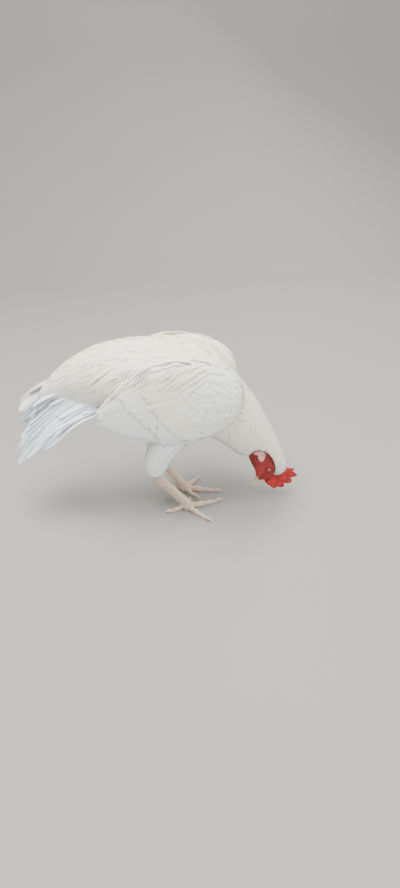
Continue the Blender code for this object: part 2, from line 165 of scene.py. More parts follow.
class Look:
    """A node material with one Principled shader, whose fixed values are set on its own sockets."""

    def __init__(self, name, **constants):
        self.material = bpy.data.materials.new(name)
        self.material.use_nodes = True
        self.tree = self.material.node_tree
        self.shader = self.tree.nodes["Principled BSDF"]
        for socket, value in constants.items():
            self.shader.inputs[socket.replace("_", " ")].default_value = value

    def node(self, kind, settings=None, inputs=None, output=0):
        """Adds a node: its settings first, then the values or links of its sockets."""
        made = self.tree.nodes.new(kind)
        for key, value in (settings or {}).items():
            setattr(made, key, value)
        for key, value in (inputs or {}).items():
            if isinstance(value, Sock):
                self.tree.links.new(value.socket, made.inputs[key])
            else:
                made.inputs[key].default_value = value
        return Sock(self, made.outputs[output])

    def mix(self, factor, first, second, blend="MIX"):
        """Two colours mixed. Colours are sockets or (red, green, blue)."""
        first, second = [c if isinstance(c, Sock) else (*c, 1) for c in (first, second)]
        settings = {"data_type": "RGBA", "blend_type": blend}
        return self.node("ShaderNodeMix", settings, {0: factor, 6: first, 7: second}, output=2)

    def vector(self, operation, first, second=None, output=0):
        """A Vector Math node. Its output 0 is a vector and 1 a number."""
        inputs = {0: first} if second is None else {0: first, 1: second}
        return self.node("ShaderNodeVectorMath", {"operation": operation}, inputs, output)

    def place(self):
        """Object coordinates, in metres."""
        return self.node("ShaderNodeTexCoord", output=3)

    def noise(self, scale, detail=3.0, stretch=None):
        """Cloudy noise from 0 to 1 whose grains are about 1 / scale metres across."""
        where = self.vector("MULTIPLY", self.place(), stretch) if stretch else self.place()
        inputs = {"Vector": where, "Scale": scale, "Detail": detail, "Roughness": 0.55}
        return self.node("ShaderNodeTexNoise", None, inputs)

    def cells(self, scale):
        """Distance to the nearest of many scattered points, about 1 / scale metres apart."""
        return self.node("ShaderNodeTexVoronoi", None, {"Vector": self.place(), "Scale": scale})

    def attribute(self, name):
        """A number that each point of the mesh carries."""
        return self.node("ShaderNodeAttribute", {"attribute_name": name}, output=2)

    def ramp(self, value, low, high):
        """0 below low, 1 above high, smooth between."""
        settings = {"interpolation_type": "SMOOTHSTEP"}
        return self.node("ShaderNodeMapRange", settings, {0: value, 1: low, 2: high, 3: 0.0, 4: 1.0})

    def paint(self, **channels):
        """Links sockets to the shader. A bump is a height, its strength and its distance."""
        for channel, value in channels.items():
            if channel == "bump":
                height, strength, distance = value
                inputs = {"Height": height, "Strength": strength, "Distance": distance}
                value = self.node("ShaderNodeBump", None, inputs)
                channel = "Normal"
            self.tree.links.new(value.socket, self.shader.inputs[channel.replace("_", " ")])
        return self.material


floor = added("floor", floor_mesh())
paper = Look("studio_paper", Roughness=0.9)
paper_colour = paper.mix(paper.noise(3.0), STUDIO_PALE, [c * PALE_MOTTLE for c in STUDIO_PALE])
floor.data.materials.append(paper.paint(Base_Color=paper_colour))
floor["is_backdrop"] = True

# ---------------------------------------------------------------------------------------------
# THE SKIN
# One skin from the comb to the toes. It is bare on the comb, face, wattles, ear lobes, shanks and
# toes, and elsewhere it lies under the feathers by the depth of the plumage. It is made by fusing
# the body's solids, drawing the feathered parts inwards, and shaping the lids and folds of the face.
# ---------------------------------------------------------------------------------------------
SIDES = (("left", 1), ("right", -1))
TOES = ("middle", "inner", "outer", "hind")
FACE_NODES = ["head", "wattle_left", "wattle_right"]
LOBE_NODES = ["ear_lobe_left", "ear_lobe_right"]
LEG_NODES = [f"shank_{side}" for side, _ in SIDES] + [f"toe_{t}_{side}" for side, _ in SIDES for t in TOES]
COAT_DEPTH = {  # how far the skin lies inside each feathered solid
    "trunk": 0.009,
    "rump": 0.009,
    "neck_lower": 0.0004,
    "neck_upper": 0.0004,
    "wing_shoulder_left": 0.007,
    "wing_shoulder_right": 0.007,
    "thigh_left": 0.006,
    "thigh_right": 0.006,
}
NECK_CORE = [  # x and z at the nape, x and z at the throat, half width, from the trunk to the head
    (0.0785, 0.2916, 0.0396, 0.1864, 0.048),
    (0.1263, 0.2736, 0.0847, 0.1644, 0.045),
    (0.1651, 0.2252, 0.1184, 0.1427, 0.037),
    (0.1915, 0.1800, 0.1405, 0.1190, 0.0290),
    (0.2124, 0.1394, 0.1575, 0.1070, 0.0226),
    (0.2240, 0.1130, 0.1770, 0.1050, 0.0172),
    (0.2270, 0.0960, 0.1900, 0.1000, 0.0145),
]
BARE_FACE_AT = Vector((0.1925, 0.0, 0.086))  # the feathers end at an oval round the face
BARE_FACE_TURN = math.radians(-68)
BARE_FACE_HALVES = (0.043, 0.0245)
BARE_AHEAD, BARE_REACH = 0.0095, 0.07  # all is bare past the first, and nearer than the second to the eyes
EYE_MIDDLE = {side: sum(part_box("eye_" + side), Vector()) / 2 for side, _ in SIDES}
BETWEEN_EYES = (EYE_MIDDLE["left"] + EYE_MIDDLE["right"]) / 2
BILLWARD = Vector((math.cos(math.radians(-110)), 0, math.sin(math.radians(-110))))
CROWNWARD = Vector((-BILLWARD.z, 0, BILLWARD.x))
SKIN_KEPT = 0.16  # share of the triangles left by the thinning
SKIN_GRAIN = 0.00115  # size of the first mesh's squares
NECK_STEPS, NECK_CORNERS = 30, 32
NEAR_PART = 0.03  # how far round the head and the legs their own solids are looked for


def curve_at(stations, at):
    """A smooth reading of rows of numbers at a place from 0 to 1."""
    rows = np.array(stations, float)
    at = np.clip(at, 0, 1) * (len(rows) - 1)
    k = min(int(at), len(rows) - 2)
    t = at - k
    a, b, c, d = rows[max(k - 1, 0)], rows[k], rows[k + 1], rows[min(k + 2, len(rows) - 1)]
    return 0.5 * (2 * b + (c - a) * t + (2 * a - 5 * b + 4 * c - d) * t**2 + (3 * b - a - 3 * c + d) * t**3)


def closed_rings(name, rings):
    """A closed smooth mesh through rings of points, with its ends filled to their middles."""
    corners = len(rings[0])
    shape = bmesh.new()
    loops = [[shape.verts.new(point) for point in ring] for ring in rings]
    for near, far in zip(loops, loops[1:]):
        for k in range(corners):
            j = (k + 1) % corners
            shape.faces.new((near[k], near[j], far[j], far[k]))
    for loop in (loops[0], loops[-1]):
        middle = shape.verts.new(sum((v.co for v in loop), Vector()) / corners)
        for k in range(corners):
            shape.faces.new((loop[k], loop[(k + 1) % corners], middle))
    bmesh.ops.recalc_face_normals(shape, faces=shape.faces)
    mesh = bpy.data.meshes.new(name)
    shape.to_mesh(mesh)
    shape.free()
    mesh.shade_smooth()
    return added(name, mesh)


def neck_core():
    """The neck under its feathers, as a tube from the trunk into the head."""
    rings = []
    for step in range(NECK_STEPS + 1):
        nape_x, nape_z, throat_x, throat_z, half = curve_at(NECK_CORE, step / NECK_STEPS)
        nape, throat = Vector((nape_x, 0, nape_z)), Vector((throat_x, 0, throat_z))
        ring = []
        for k in range(NECK_CORNERS):
            turn = math.tau * k / NECK_CORNERS
            ring.append((nape + throat) / 2 + (nape - throat) / 2 * math.cos(turn))
            ring[-1].y = half * math.sin(turn)
        rings.append(ring)
    return closed_rings("neck_core", rings)


def gathered(name, nodes, more=()):
    """Copies of the named solids and of some meshes in one object, with their loose triangles joined."""
    joined = bmesh.new()
    for mesh in [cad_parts[node].data for node in nodes] + list(more):
        joined.from_mesh(mesh)
    bmesh.ops.remove_doubles(joined, verts=joined.verts, dist=1e-6)
    mesh = bpy.data.meshes.new(name)
    joined.to_mesh(mesh)
    joined.free()
    return added(name, mesh)


def settle(obj):
    """Puts an object's modifiers into its mesh."""
    graph = bpy.context.evaluated_depsgraph_get()
    mesh = bpy.data.meshes.new_from_object(obj.evaluated_get(graph), depsgraph=graph)
    obj.modifiers.clear()
    obj.data = mesh


def fused(obj, grain):
    """Makes one surface of evenly sized squares over all that an object holds."""
    step = obj.modifiers.new("fuse", "REMESH")
    step.mode = "VOXEL"
    step.voxel_size = grain
    settle(obj)


def thinned(obj, kept):
    """Thins a mesh out under the feathers, and keeps it whole on the head and the legs."""
    group = obj.vertex_groups.new(name="plumed")
    points = read(obj.data)
    bare = (points[:, 2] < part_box("thigh_left")[0].z + 0.01) | (
        (points[:, 2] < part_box("head")[1].z) & (points[:, 0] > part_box("wattle_left")[0].x - 0.02)
    )
    group.add(np.flatnonzero(~bare).tolist(), 1.0, "REPLACE")
    step = obj.modifiers.new("thin", "DECIMATE")
    step.ratio = kept
    step.vertex_group = group.name
    settle(obj)
    obj.vertex_groups.clear()


def biggest_island(obj):
    """Removes the small closed bubbles that are left inside where solids met."""
    shape = bmesh.new()
    shape.from_mesh(obj.data)
    left = set(shape.verts)
    best = []
    while left:
        start = left.pop()
        island, edge = [start], [start]
        while edge:
            for link in edge.pop().link_edges:
                for vert in link.verts:
                    if vert in left:
                        left.discard(vert)
                        island.append(vert)
                        edge.append(vert)
        if len(island) > len(best):
            best = island
    keep = set(best)
    bmesh.ops.delete(shape, geom=[v for v in shape.verts if v not in keep], context="VERTS")
    shape.to_mesh(obj.data)
    shape.free()


def read(mesh, what="co", collection="vertices", width=3):
    """An array of a mesh's values, or of the numbers of its vertices or loops."""
    items = getattr(mesh, collection)
    values = np.empty(len(items) * width, np.int32 if what in ("vertices", "loops") else np.float32)
    items.foreach_get(what, values)
    return values.reshape(-1, width)


def write(mesh, points):
    mesh.vertices.foreach_set("co", np.asarray(points, np.float32).ravel())
    mesh.update()


def relaxed(values, edges, rounds, share=1.0):
    """Values at points, each drawn halfway to the mean of its neighbours. A share of 0 holds a point."""
    first, second = edges.T
    values = values.astype(float).reshape(len(values), -1)
    count = np.maximum(np.bincount(edges.ravel(), minlength=len(values)), 1)[:, None]
    pull = 0.5 * np.reshape(share, (-1, 1))
    for _ in range(rounds):
        total = np.empty_like(values)
        for k, column in enumerate(values.T):
            total[:, k] = np.bincount(first, column[second], len(column))
            total[:, k] += np.bincount(second, column[first], len(column))
        values = values + (total / count - values) * pull
    return values if values.shape[1] > 1 else values[:, 0]


def tree_of(nodes):
    """A finder of the nearest point on some solids."""
    points, faces, start = [], [], 0
    for node in nodes:
        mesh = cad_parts[node].data
        points += [v.co.copy() for v in mesh.vertices]
        faces += [[start + k for k in face.vertices] for face in mesh.polygons]
        start = len(points)
    return BVHTree.FromPolygons(points, faces)


def distances(finder, points, within=0.05):
    """How far each point is from the solids, up to a limit."""
    found = (finder.find_nearest(point, within)[3] for point in points)
    return np.array([within if d is None else d for d in found])


def in_oval(points):
    """How far out each place is from the middle of the bare face, 1 at its edge."""
    long_way = np.array((math.cos(BARE_FACE_TURN), 0, math.sin(BARE_FACE_TURN)))
    short_way = np.array((-long_way[2], 0, long_way[0]))
    away = points - np.array(BARE_FACE_AT)
    return np.hypot(away @ long_way / BARE_FACE_HALVES[0], away @ short_way / BARE_FACE_HALVES[1])


def is_bare(points):
    """True inside the oval of the bare face and everywhere in front of it."""
    away = points - np.array(BETWEEN_EYES)
    near = np.linalg.norm(away, axis=1) < BARE_REACH
    return (in_oval(points) < 1) | (near & (away @ np.array(BILLWARD) > BARE_AHEAD))


def nearest_kind(points):
    """For each point the depth of the coat there, and how much it is face, comb, ear lobe or leg."""
    x, z = points[:, 0], points[:, 2]
    depth = np.full(len(points), max(COAT_DEPTH.values()))
    marks = {kind: np.zeros(len(points)) for kind in ("face", "comb", "lobe", "leg")}
    at_head = (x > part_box("wattle_left")[0].x - NEAR_PART) & (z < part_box("head")[1].z + NEAR_PART)
    at_legs = (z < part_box("thigh_left")[0].z + NEAR_PART) & ~at_head
    groups = (
        (at_legs, {"leg": LEG_NODES, "thigh_left": ["thigh_left", "thigh_right"]}),
        (at_head, {"face": FACE_NODES, "comb": ["comb"], "lobe": LOBE_NODES}),
        (~at_head & ~at_legs, {node: [node] for node in COAT_DEPTH}),
    )
    for group, kinds in groups:
        rows, names = np.flatnonzero(group), list(kinds)
        away = np.stack([distances(tree_of(kinds[name]), points[rows]) for name in names], axis=1)
        choice = away.argmin(axis=1)
        for k, name in enumerate(names):
            mine = rows[choice == k]
            depth[mine] = COAT_DEPTH.get(name, 0.0)
            if name in marks:
                marks[name][mine] = 1.0
    feathered = at_head & ~is_bare(points) & (marks["comb"] < 1)
    marks["face"][feathered] = 0
    depth[feathered] = COAT_DEPTH["neck_upper"]
    return depth, marks


core = neck_core()
fleshy = [node for node in COAT_DEPTH if not node.startswith("neck")]
skin = gathered("skin", fleshy + FACE_NODES + ["comb"] + LOBE_NODES + LEG_NODES, [core.data])
bpy.data.objects.remove(core)
fused(skin, SKIN_GRAIN)
thinned(skin, SKIN_KEPT)
biggest_island(skin)
points, edges = read(skin.data), read(skin.data, "vertices", "edges", 2)
depth, marks = nearest_kind(points)
covered = np.clip(relaxed((depth > 0).astype(float), edges, 12), 0, 1)
depth = relaxed(depth, edges, 40) * covered
points = relaxed(points, edges, 2)
SHRINK_STEPS = 9  # in which the coat's depth is taken off, so that the skin doesn't fold
for _ in range(SHRINK_STEPS):
    write(skin.data, points)
    points = points - read(skin.data, "normal") * (depth / SHRINK_STEPS)[:, None]
    points = relaxed(points, edges, 5, share=covered)
write(skin.data, points)

# The lids, the folds round the eye and the grain of the comb are raised on a finer mesh.
EYE_RADIUS = (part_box("eye_left")[1].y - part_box("eye_left")[0].y) / 2
LID_OPENING = (0.0043, 0.0037)  # half the eye's opening along the bill and across it
LID_REACH, LID_OFF_EYE, LID_BEHIND = 1.7, 0.00025, -0.004  # in openings; gap to the eye; rear limit
EYE_FOLDS = (  # how high, how far out in openings and how wide: the lid's ridge, a crease and a fold
    (0.0009, 1.22, 0.16),
    (-0.0006, 1.62, 0.16),
    (0.0005, 2.05, 0.22),
)
BROW = (0.0008, 2.3, 0.5)  # the same, above the eye only
FINE_FACE, FINE_EYE, SMOOTH_FACE = 0.027, 0.0095, 0.03  # how far round the eyes
GRAINS = ((900, 0.00012), (330, 0.00022))  # how many a metre and how high
FOLDS = (150, 0.0004)
LEG_SOLE = 0.0006  # what lies lower is pressed flat on the ground


def finer(obj, chosen):
    """Cuts every edge that lies between chosen vertices in two."""
    shape = bmesh.new()
    shape.from_mesh(obj.data)
    shape.verts.ensure_lookup_table()
    cut = [e for e in shape.edges if chosen[e.verts[0].index] and chosen[e.verts[1].index]]
    bmesh.ops.subdivide_edges(shape, edges=cut, cuts=1, use_grid_fill=True)
    bmesh.ops.triangulate(shape, faces=shape.faces)
    shape.to_mesh(obj.data)
    shape.free()


def eyeward(points, side):
    """Each point seen from an eye: along the bill, towards the crown, and outwards."""
    away = points - np.array(EYE_MIDDLE[side])
    return away @ np.array(BILLWARD), away @ np.array(CROWNWARD), away[:, 1] * dict(SIDES)[side]


def from_eyes(points):
    """How far each point is from the line through both eyes."""
    return np.hypot(*((points - np.array(BETWEEN_EYES)) @ np.array((BILLWARD, CROWNWARD)).T).T)


finer(skin, (from_eyes(points) < FINE_FACE) & (np.abs(points[:, 1]) > 0.003))
points = read(skin.data)
near_eye = np.zeros(len(points), bool)
for side, _ in SIDES:
    along, across, out = eyeward(points, side)
    near_eye |= (np.hypot(along, across) < FINE_EYE) & (out > -0.006)
finer(skin, near_eye)
points, edges = read(skin.data), read(skin.data, "vertices", "edges", 2)
points = relaxed(points, edges, 3, share=from_eyes(points) < SMOOTH_FACE)
write(skin.data, points)
depth, marks = nearest_kind(points)
red = np.clip(marks["face"] + marks["comb"] + marks["lobe"], 0, 1)
marks["face"] = red.copy()  # the comb's and the lobes' own colours lie over the face's
for kind in marks:
    marks[kind] = np.clip(relaxed(marks[kind], edges, 3), 0, 1)

normals = read(skin.data, "normal")
lift = np.zeros(len(points))
for row in np.flatnonzero(red > 0):
    spot = Vector(points[row])
    grain = sum(noise.noise(spot * fineness) * height for fineness, height in GRAINS)
    lift[row] = grain + abs(noise.noise(spot * FOLDS[0])) * FOLDS[1]
points = points + normals * lift[:, None]
for side, way in SIDES:
    along, across, out = eyeward(points, side)
    ring = np.hypot(along / LID_OPENING[0], across / LID_OPENING[1])
    reach = np.hypot(along, across)
    on_eye = np.sqrt(np.clip(EYE_RADIUS**2 - reach**2, 0, None)) + LID_OFF_EYE
    lid = (ring > 1.0) & (ring < LID_REACH) & (out > LID_BEHIND)
    points[lid, 1] = (EYE_MIDDLE[side].y * way + np.maximum(out, on_eye)[lid]) * way
    waves = [high * np.exp(-(((ring - at) / wide) ** 2)) for high, at, wide in (*EYE_FOLDS, BROW)]
    waves[0] *= ring > 1.0
    waves[-1] *= np.clip(across / 0.006, 0, 1)
    points[:, 1] += way * sum(waves) * (out > LID_BEHIND)
flat = marks["leg"] * (points[:, 2] < LEG_SOLE)
points[:, 2] = np.maximum(points[:, 2] * (1 - flat), 0.0)
write(skin.data, points)
for kind, values in marks.items():
    skin.data.attributes.new(kind, "FLOAT", "POINT").data.foreach_set("value", values.astype(np.float32))
skin.data.shade_smooth()

# The comb and the face are a wet red with darker blotches, the lobes pink and white, the legs tan.
WET_RED, DEEP_RED, FACE_RED = (0.54, 0.018, 0.016), (0.22, 0.006, 0.007), (0.32, 0.020, 0.017)
LOBE_PINK, LOBE_WHITE = (0.72, 0.25, 0.22), (0.85, 0.66, 0.60)
LEG_TAN, LEG_PINK, LEG_DUST = (0.70, 0.53, 0.38), (0.68, 0.43, 0.33), (0.46, 0.35, 0.25)
DOWN_WHITE = (0.72, 0.68, 0.60)
hide = Look("living_skin", Roughness=0.5, Subsurface_Weight=0.08, Subsurface_Scale=0.004)
blotch = hide.noise(160, detail=4)
comb_colour = hide.mix(hide.ramp(blotch, 0.35, 0.70), WET_RED, DEEP_RED)
face_colour = hide.mix(hide.ramp(hide.noise(260), 0.38, 0.66), FACE_RED, DEEP_RED)
lobe_colour = hide.mix(hide.ramp(hide.noise(240), 0.35, 0.65), LOBE_WHITE, LOBE_PINK)
leg_colour = hide.mix(hide.ramp(hide.noise(220), 0.35, 0.70), LEG_TAN, LEG_PINK)
leg_colour = hide.mix(hide.ramp(hide.cells(900), 0.30, 0.62) * 0.55, leg_colour, LEG_DUST)
colour = hide.mix(hide.attribute("face"), DOWN_WHITE, face_colour)
colour = hide.mix(hide.attribute("comb"), colour, comb_colour)
colour = hide.mix(hide.attribute("lobe"), colour, lobe_colour)
colour = hide.mix(hide.attribute("leg"), colour, leg_colour)
height = hide.ramp(hide.cells(1500), 0.05, 0.55) * -0.5 + hide.noise(700, detail=5) * 0.5
hide.paint(Base_Color=colour, Roughness=0.42 + hide.noise(500) * 0.25, bump=(height, 0.6, 0.0006))
skin.data.materials.clear()
skin.data.materials.append(hide.material)
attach(skin, "root")
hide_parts(*COAT_DEPTH, *FACE_NODES, "comb", *LOBE_NODES, *LEG_NODES)

# ---------------------------------------------------------------------------------------------
# THE EYES
# Each is a wet ball with an orange iris, a round black pupil and a clear bulging front. It sits in
# its socket behind the lids.
# ---------------------------------------------------------------------------------------------
PUPIL, PUPIL_EDGE, IRIS, IRIS_EDGE = 0.0019, 0.00018, 0.0041, 0.0004
CORNEA_BULGE, CORNEA_HALF = 0.0005, 0.0026
PUPIL_BLACK, RIM_BLACK = (0.004, 0.004, 0.005), (0.02, 0.008, 0.006)
IRIS_ORANGE, IRIS_BROWN, IRIS_STREAK = (0.62, 0.20, 0.035), (0.30, 0.055, 0.010), (0.20, 0.03, 0.006)
for side, way in SIDES:
    middle = EYE_MIDDLE[side]
    ball = bmesh.new()
    bmesh.ops.create_uvsphere(ball, u_segments=48, v_segments=32, radius=EYE_RADIUS)
    for vert in ball.verts:
        off_axis = math.hypot(vert.co.x, vert.co.z)
        if vert.co.y * way > 0:
            vert.co.y += way * CORNEA_BULGE * math.exp(-((off_axis / CORNEA_HALF) ** 2))
        vert.co += middle
    mesh = bpy.data.meshes.new("eyeball_" + side)
    ball.to_mesh(mesh)
    ball.free()
    mesh.shade_smooth()
    eyeball = added("eyeball_" + side, mesh)
    gaze = Look("eye_" + side, Roughness=0.06, Coat_Weight=1.0, Coat_Roughness=0.02, IOR=1.38)
    spot = gaze.vector("SUBTRACT", gaze.place(), middle)
    off_axis = gaze.vector("LENGTH", gaze.vector("MULTIPLY", spot, (1, 0, 1)), output=1)
    streaks = gaze.ramp(gaze.noise(1400, detail=4), 0.4, 0.65) * 0.5
    iris = gaze.mix(gaze.ramp(off_axis, PUPIL, IRIS), IRIS_ORANGE, IRIS_BROWN)
    iris = gaze.mix(streaks, iris, IRIS_STREAK)
    iris = gaze.mix(gaze.ramp(off_axis, IRIS - IRIS_EDGE, IRIS), iris, RIM_BLACK)
    round_pupil = gaze.ramp(off_axis, PUPIL, PUPIL + PUPIL_EDGE)
    eyeball.data.materials.append(gaze.paint(Base_Color=gaze.mix(round_pupil, PUPIL_BLACK, iris)))
    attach(eyeball, "root")
    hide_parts("eye_" + side)

# ---------------------------------------------------------------------------------------------
# THE BILL
# Two horn sheaths: a hooked upper one with a nostril slit on each side of its root, which shuts over
# a shorter lower one. Both grow out from under the skin of the face.
# ---------------------------------------------------------------------------------------------
# billward, crownward, half width, half rise and half drop, measured from between the eyes
UPPER_BILL = [
    (0.014, 0.0040, 0.0086, 0.0098, 0.0050),
    (0.021, 0.0030, 0.0086, 0.0096, 0.0047),
    (0.028, 0.0012, 0.0076, 0.0086, 0.0044),
    (0.035, -0.0020, 0.0059, 0.0068, 0.0040),
    (0.0415, -0.0058, 0.0041, 0.0049, 0.0035),
    (0.047, -0.0100, 0.0023, 0.0031, 0.0029),
    (0.0500, -0.0134, 0.0008, 0.0011, 0.0014),
]
LOWER_BILL = [
    (0.013, -0.0080, 0.0076, 0.0062, 0.0050),
    (0.020, -0.0080, 0.0072, 0.0062, 0.0046),
    (0.028, -0.0080, 0.0060, 0.0058, 0.0038),
    (0.035, -0.0092, 0.0043, 0.0046, 0.0029),
    (0.041, -0.0117, 0.0025, 0.0030, 0.0019),
    (0.0445, -0.0140, 0.0008, 0.0012, 0.0009),
]
BILL_ROOT = BETWEEN_EYES - CROWNWARD * 0.002
BILL_STEPS, BILL_CORNERS = 35, 32
NOSTRIL_ALONG, NOSTRIL_UP = (0.0235, 0.0026), (0.42, 0.20)  # middle and half size, up as a share of the rise
NOSTRIL_DEPTH = 0.0013
HORN_ROOT, HORN_TIP, HORN_STAIN = (0.50, 0.36, 0.20), (0.74, 0.62, 0.42), (0.34, 0.23, 0.13)


def bill_sheath(name, stations, nostril_depth):
    rings = []
    for step in range(BILL_STEPS + 1):
        along, rise, half, above, below = curve_at(stations, step / BILL_STEPS)
        ring = []
        for k in range(BILL_CORNERS):
            turn = 2 * math.pi * k / BILL_CORNERS
            side, up = math.cos(turn), math.sin(turn)
            (at_along, half_along), (at_up, half_up) = NOSTRIL_ALONG, NOSTRIL_UP
            slit = math.hypot((along - at_along) / half_along, (up - at_up) / half_up)
            half_here = half - nostril_depth * math.exp(-(slit**2))
            across = CROWNWARD * (rise + (above if up > 0 else below) * up) + Vector((0, side * half_here, 0))
            ring.append(BILL_ROOT + BILLWARD * along + across)
        rings.append(ring)
    return closed_rings(name, rings)


horn = Look("bill_horn", Roughness=0.36, Coat_Weight=0.15)
toward_tip = horn.vector("DOT_PRODUCT", horn.place(), BILLWARD, output=1) - BILL_ROOT.dot(BILLWARD)
growth = horn.noise(500, detail=3, stretch=(1, 1, 3.0))
horn_colour = horn.mix(horn.ramp(toward_tip, 0.018, 0.044), HORN_ROOT, HORN_TIP)
horn_colour = horn.mix(horn.ramp(growth, 0.45, 0.7) * 0.4, horn_colour, HORN_STAIN)
horn.paint(Base_Color=horn_colour, Roughness=0.30 + growth * 0.2, bump=(growth, 0.3, 0.0004))
for part, stations, nostril_depth in (("upper", UPPER_BILL, NOSTRIL_DEPTH), ("lower", LOWER_BILL, 0.0)):
    sheath = bill_sheath("bill_sheath_" + part, stations, nostril_depth)
    sheath.data.materials.append(horn.material)
    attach(sheath, "root")
    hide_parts("bill_" + part)

# ---------------------------------------------------------------------------------------------
# THE CLAWS AND SPURS
# Curved horn claws that grow out of the toes' ends, blunt at the tips and streaked along, and a short
# horn spur on each shank. The root of each is sunk in the skin of the leg.
# ---------------------------------------------------------------------------------------------
CLAW_HALF, SPUR_HALF, TIP_HALF = 0.0031, 0.0029, 0.00012
CLAW_RINGS, CLAW_CORNERS = 12, 16
CLAW_SUNK = 0.22  # share of its length that is sunk in the leg
CLAW_WIDE, CLAW_OVER, CLAW_UNDER = 0.82, 1.12, 0.80  # shares of the half width: sideways, above, below
CLAW_PALE, CLAW_DARK = (0.72, 0.60, 0.43), (0.46, 0.34, 0.22)


def nearest_end(points, leg_node):
    """The end of a claw's or spur's solid that meets the leg."""
    gap = distances(tree_of([leg_node]), points)
    return points[gap < gap.min() + 0.0012].mean(0)


def claw_mesh(name, node, leg_node, root_half):
    """A tapering curved claw along its solid, from the end at the leg to the tip."""
    points = read(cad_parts[node].data)
    leg_end = nearest_end(points, leg_node)
    away = np.linalg.norm(points - leg_end, axis=1)
    tip = points[away.argmax()]
    middle = points[(away > away.max() * 0.42) & (away < away.max() * 0.62)]
    middle = middle.mean(0) if len(middle) else (leg_end + tip) / 2
    middle = middle * 2 - (leg_end + tip) / 2  # the curve's pull point, so that it passes the middle
    rings = []
    for k in range(CLAW_RINGS):
        t = (1 + CLAW_SUNK) * k / (CLAW_RINGS - 1) - CLAW_SUNK
        at = leg_end * (1 - t) ** 2 + middle * 2 * t * (1 - t) + tip * t**2
        along = Vector(2 * (middle - leg_end) * (1 - t) + 2 * (tip - middle) * t).normalized()
        side = along.cross(Vector((0, 0, 1))).normalized()
        over = side.cross(along)
        half = root_half * (1 - max(t, 0) ** 1.4) * 0.98 + TIP_HALF
        ring = []
        for c in range(CLAW_CORNERS):
            turn = math.tau * c / CLAW_CORNERS
            flat = CLAW_OVER if math.sin(turn) > 0 else CLAW_UNDER
            outward = side * math.cos(turn) * CLAW_WIDE + over * math.sin(turn) * flat
            ring.append(Vector(at) + outward * half)
        rings.append(ring)
    made = closed_rings(name, rings)
    points = read(made.data)
    points[:, 2] = np.maximum(points[:, 2], 0.0)  # none goes under the ground
    write(made.data, points)
    return made


claw_horn = Look("claw_horn", Roughness=0.38, Coat_Weight=0.1)
streak = claw_horn.noise(900, detail=4, stretch=(0.35, 1, 1))
claw_colour = claw_horn.mix(claw_horn.ramp(streak, 0.38, 0.68), CLAW_PALE, CLAW_DARK)
claw_horn.paint(Base_Color=claw_colour, Roughness=0.30 + streak * 0.25, bump=(streak, 0.3, 0.0003))
for side, _ in SIDES:
    horns = [(f"claw_{toe}_{side}", f"toe_{toe}_{side}", CLAW_HALF) for toe in TOES]
    for node, leg_node, half in horns + [(f"spur_{side}", f"shank_{side}", SPUR_HALF)]:
        claw = claw_mesh("horn_" + node, node, leg_node, half)
        claw.data.materials.append(claw_horn.material)
        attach(claw, "root")
        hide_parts(node)

# ---------------------------------------------------------------------------------------------
# THE SCUTES
# Horny plates in one row down the front of each shank and along the top of each toe, and two rows of
# small ones up the back of the shank. Each overlaps the next and follows the leg under it.
# ---------------------------------------------------------------------------------------------
HOCK_AT = {"left": Vector((-0.0135, 0.041, 0.090)), "right": Vector((-0.0135, -0.041, 0.090))}
SOLE_AT = {"left": Vector((0.0435, 0.036, 0.0)), "right": Vector((0.0475, -0.030, 0.0))}
PLATE_ACROSS, PLATE_ALONG = 8, 4  # points in one plate
PLATE_RISE, PLATE_LIP, PLATE_SUNK = 0.00016, 0.00062, -0.00035  # how proud its start, lip and sides are
PLATE_ABOVE = 0.0005  # over the solid, before it is laid down on the skin
# Each row: how many plates, the width of the first and the last, their overlap, and how far their sides
# bend back. On a toe the pitch gives the number.
FRONT_ROW = (19, (0.0160, 0.0160), 1.30, 0.0090)
BACK_ROW = (17, (0.0066, 0.0064), 1.25, 0.0020)
TOE_ROW = ((0.0108, 0.0080), 1.32, 0.0035)
TOE_PITCH = 0.0044
SCUTE_TAN, SCUTE_PINK = (0.74, 0.60, 0.44), (0.66, 0.44, 0.34)
# The second colour on the next line is painted shade, for where the plates lie low.
SCUTE_SPECK, SCUTE_SHADE = (0.45, 0.34, 0.24), (0.40, 0.27, 0.20)


def plate_mesh():
    """One plate, 1 by 1, bent back by 1 at its sides. Its rise is how far each point stands proud."""
    shape = bmesh.new()
    rise = shape.verts.layers.float.new("rise")
    layers = []
    for top in (True, False):
        rows = []
        for r in range(PLATE_ALONG):
            along = 2 * r / (PLATE_ALONG - 1) - 1
            row = []
            for c in range(PLATE_ACROSS):
                across = 2 * c / (PLATE_ACROSS - 1) - 1
                rounded = along - 0.35 * across**2 * max(along, 0)
                vert = shape.verts.new((across / 2, rounded / 2, -(across**2)))
                vert[rise] = (PLATE_RISE + (PLATE_LIP - PLATE_RISE) * (along + 1) / 2) * (1 - across**6)
                if not top or r == 0:
                    vert[rise] = PLATE_SUNK
                row.append(vert)
            rows.append(row)
        layers.append(rows)
    upper, lower = layers
    for rows, flip in ((upper, False), (lower, True)):
        for r in range(PLATE_ALONG - 1):
            for c in range(PLATE_ACROSS - 1):
                quad = [rows[r][c], rows[r][c + 1], rows[r + 1][c + 1], rows[r + 1][c]]
                shape.faces.new(quad[::-1] if flip else quad)
    for c in range(PLATE_ACROSS - 1):
        shape.faces.new((upper[0][c + 1], upper[0][c], lower[0][c], lower[0][c + 1]))
        shape.faces.new((upper[-1][c], upper[-1][c + 1], lower[-1][c + 1], lower[-1][c]))
    for r in range(PLATE_ALONG - 1):
        shape.faces.new((upper[r][0], upper[r + 1][0], lower[r + 1][0], lower[r][0]))
        shape.faces.new((upper[r + 1][-1], upper[r][-1], lower[r][-1], lower[r + 1][-1]))
    mesh = bpy.data.meshes.new("plate")
    shape.to_mesh(mesh)
    shape.free()
    return mesh


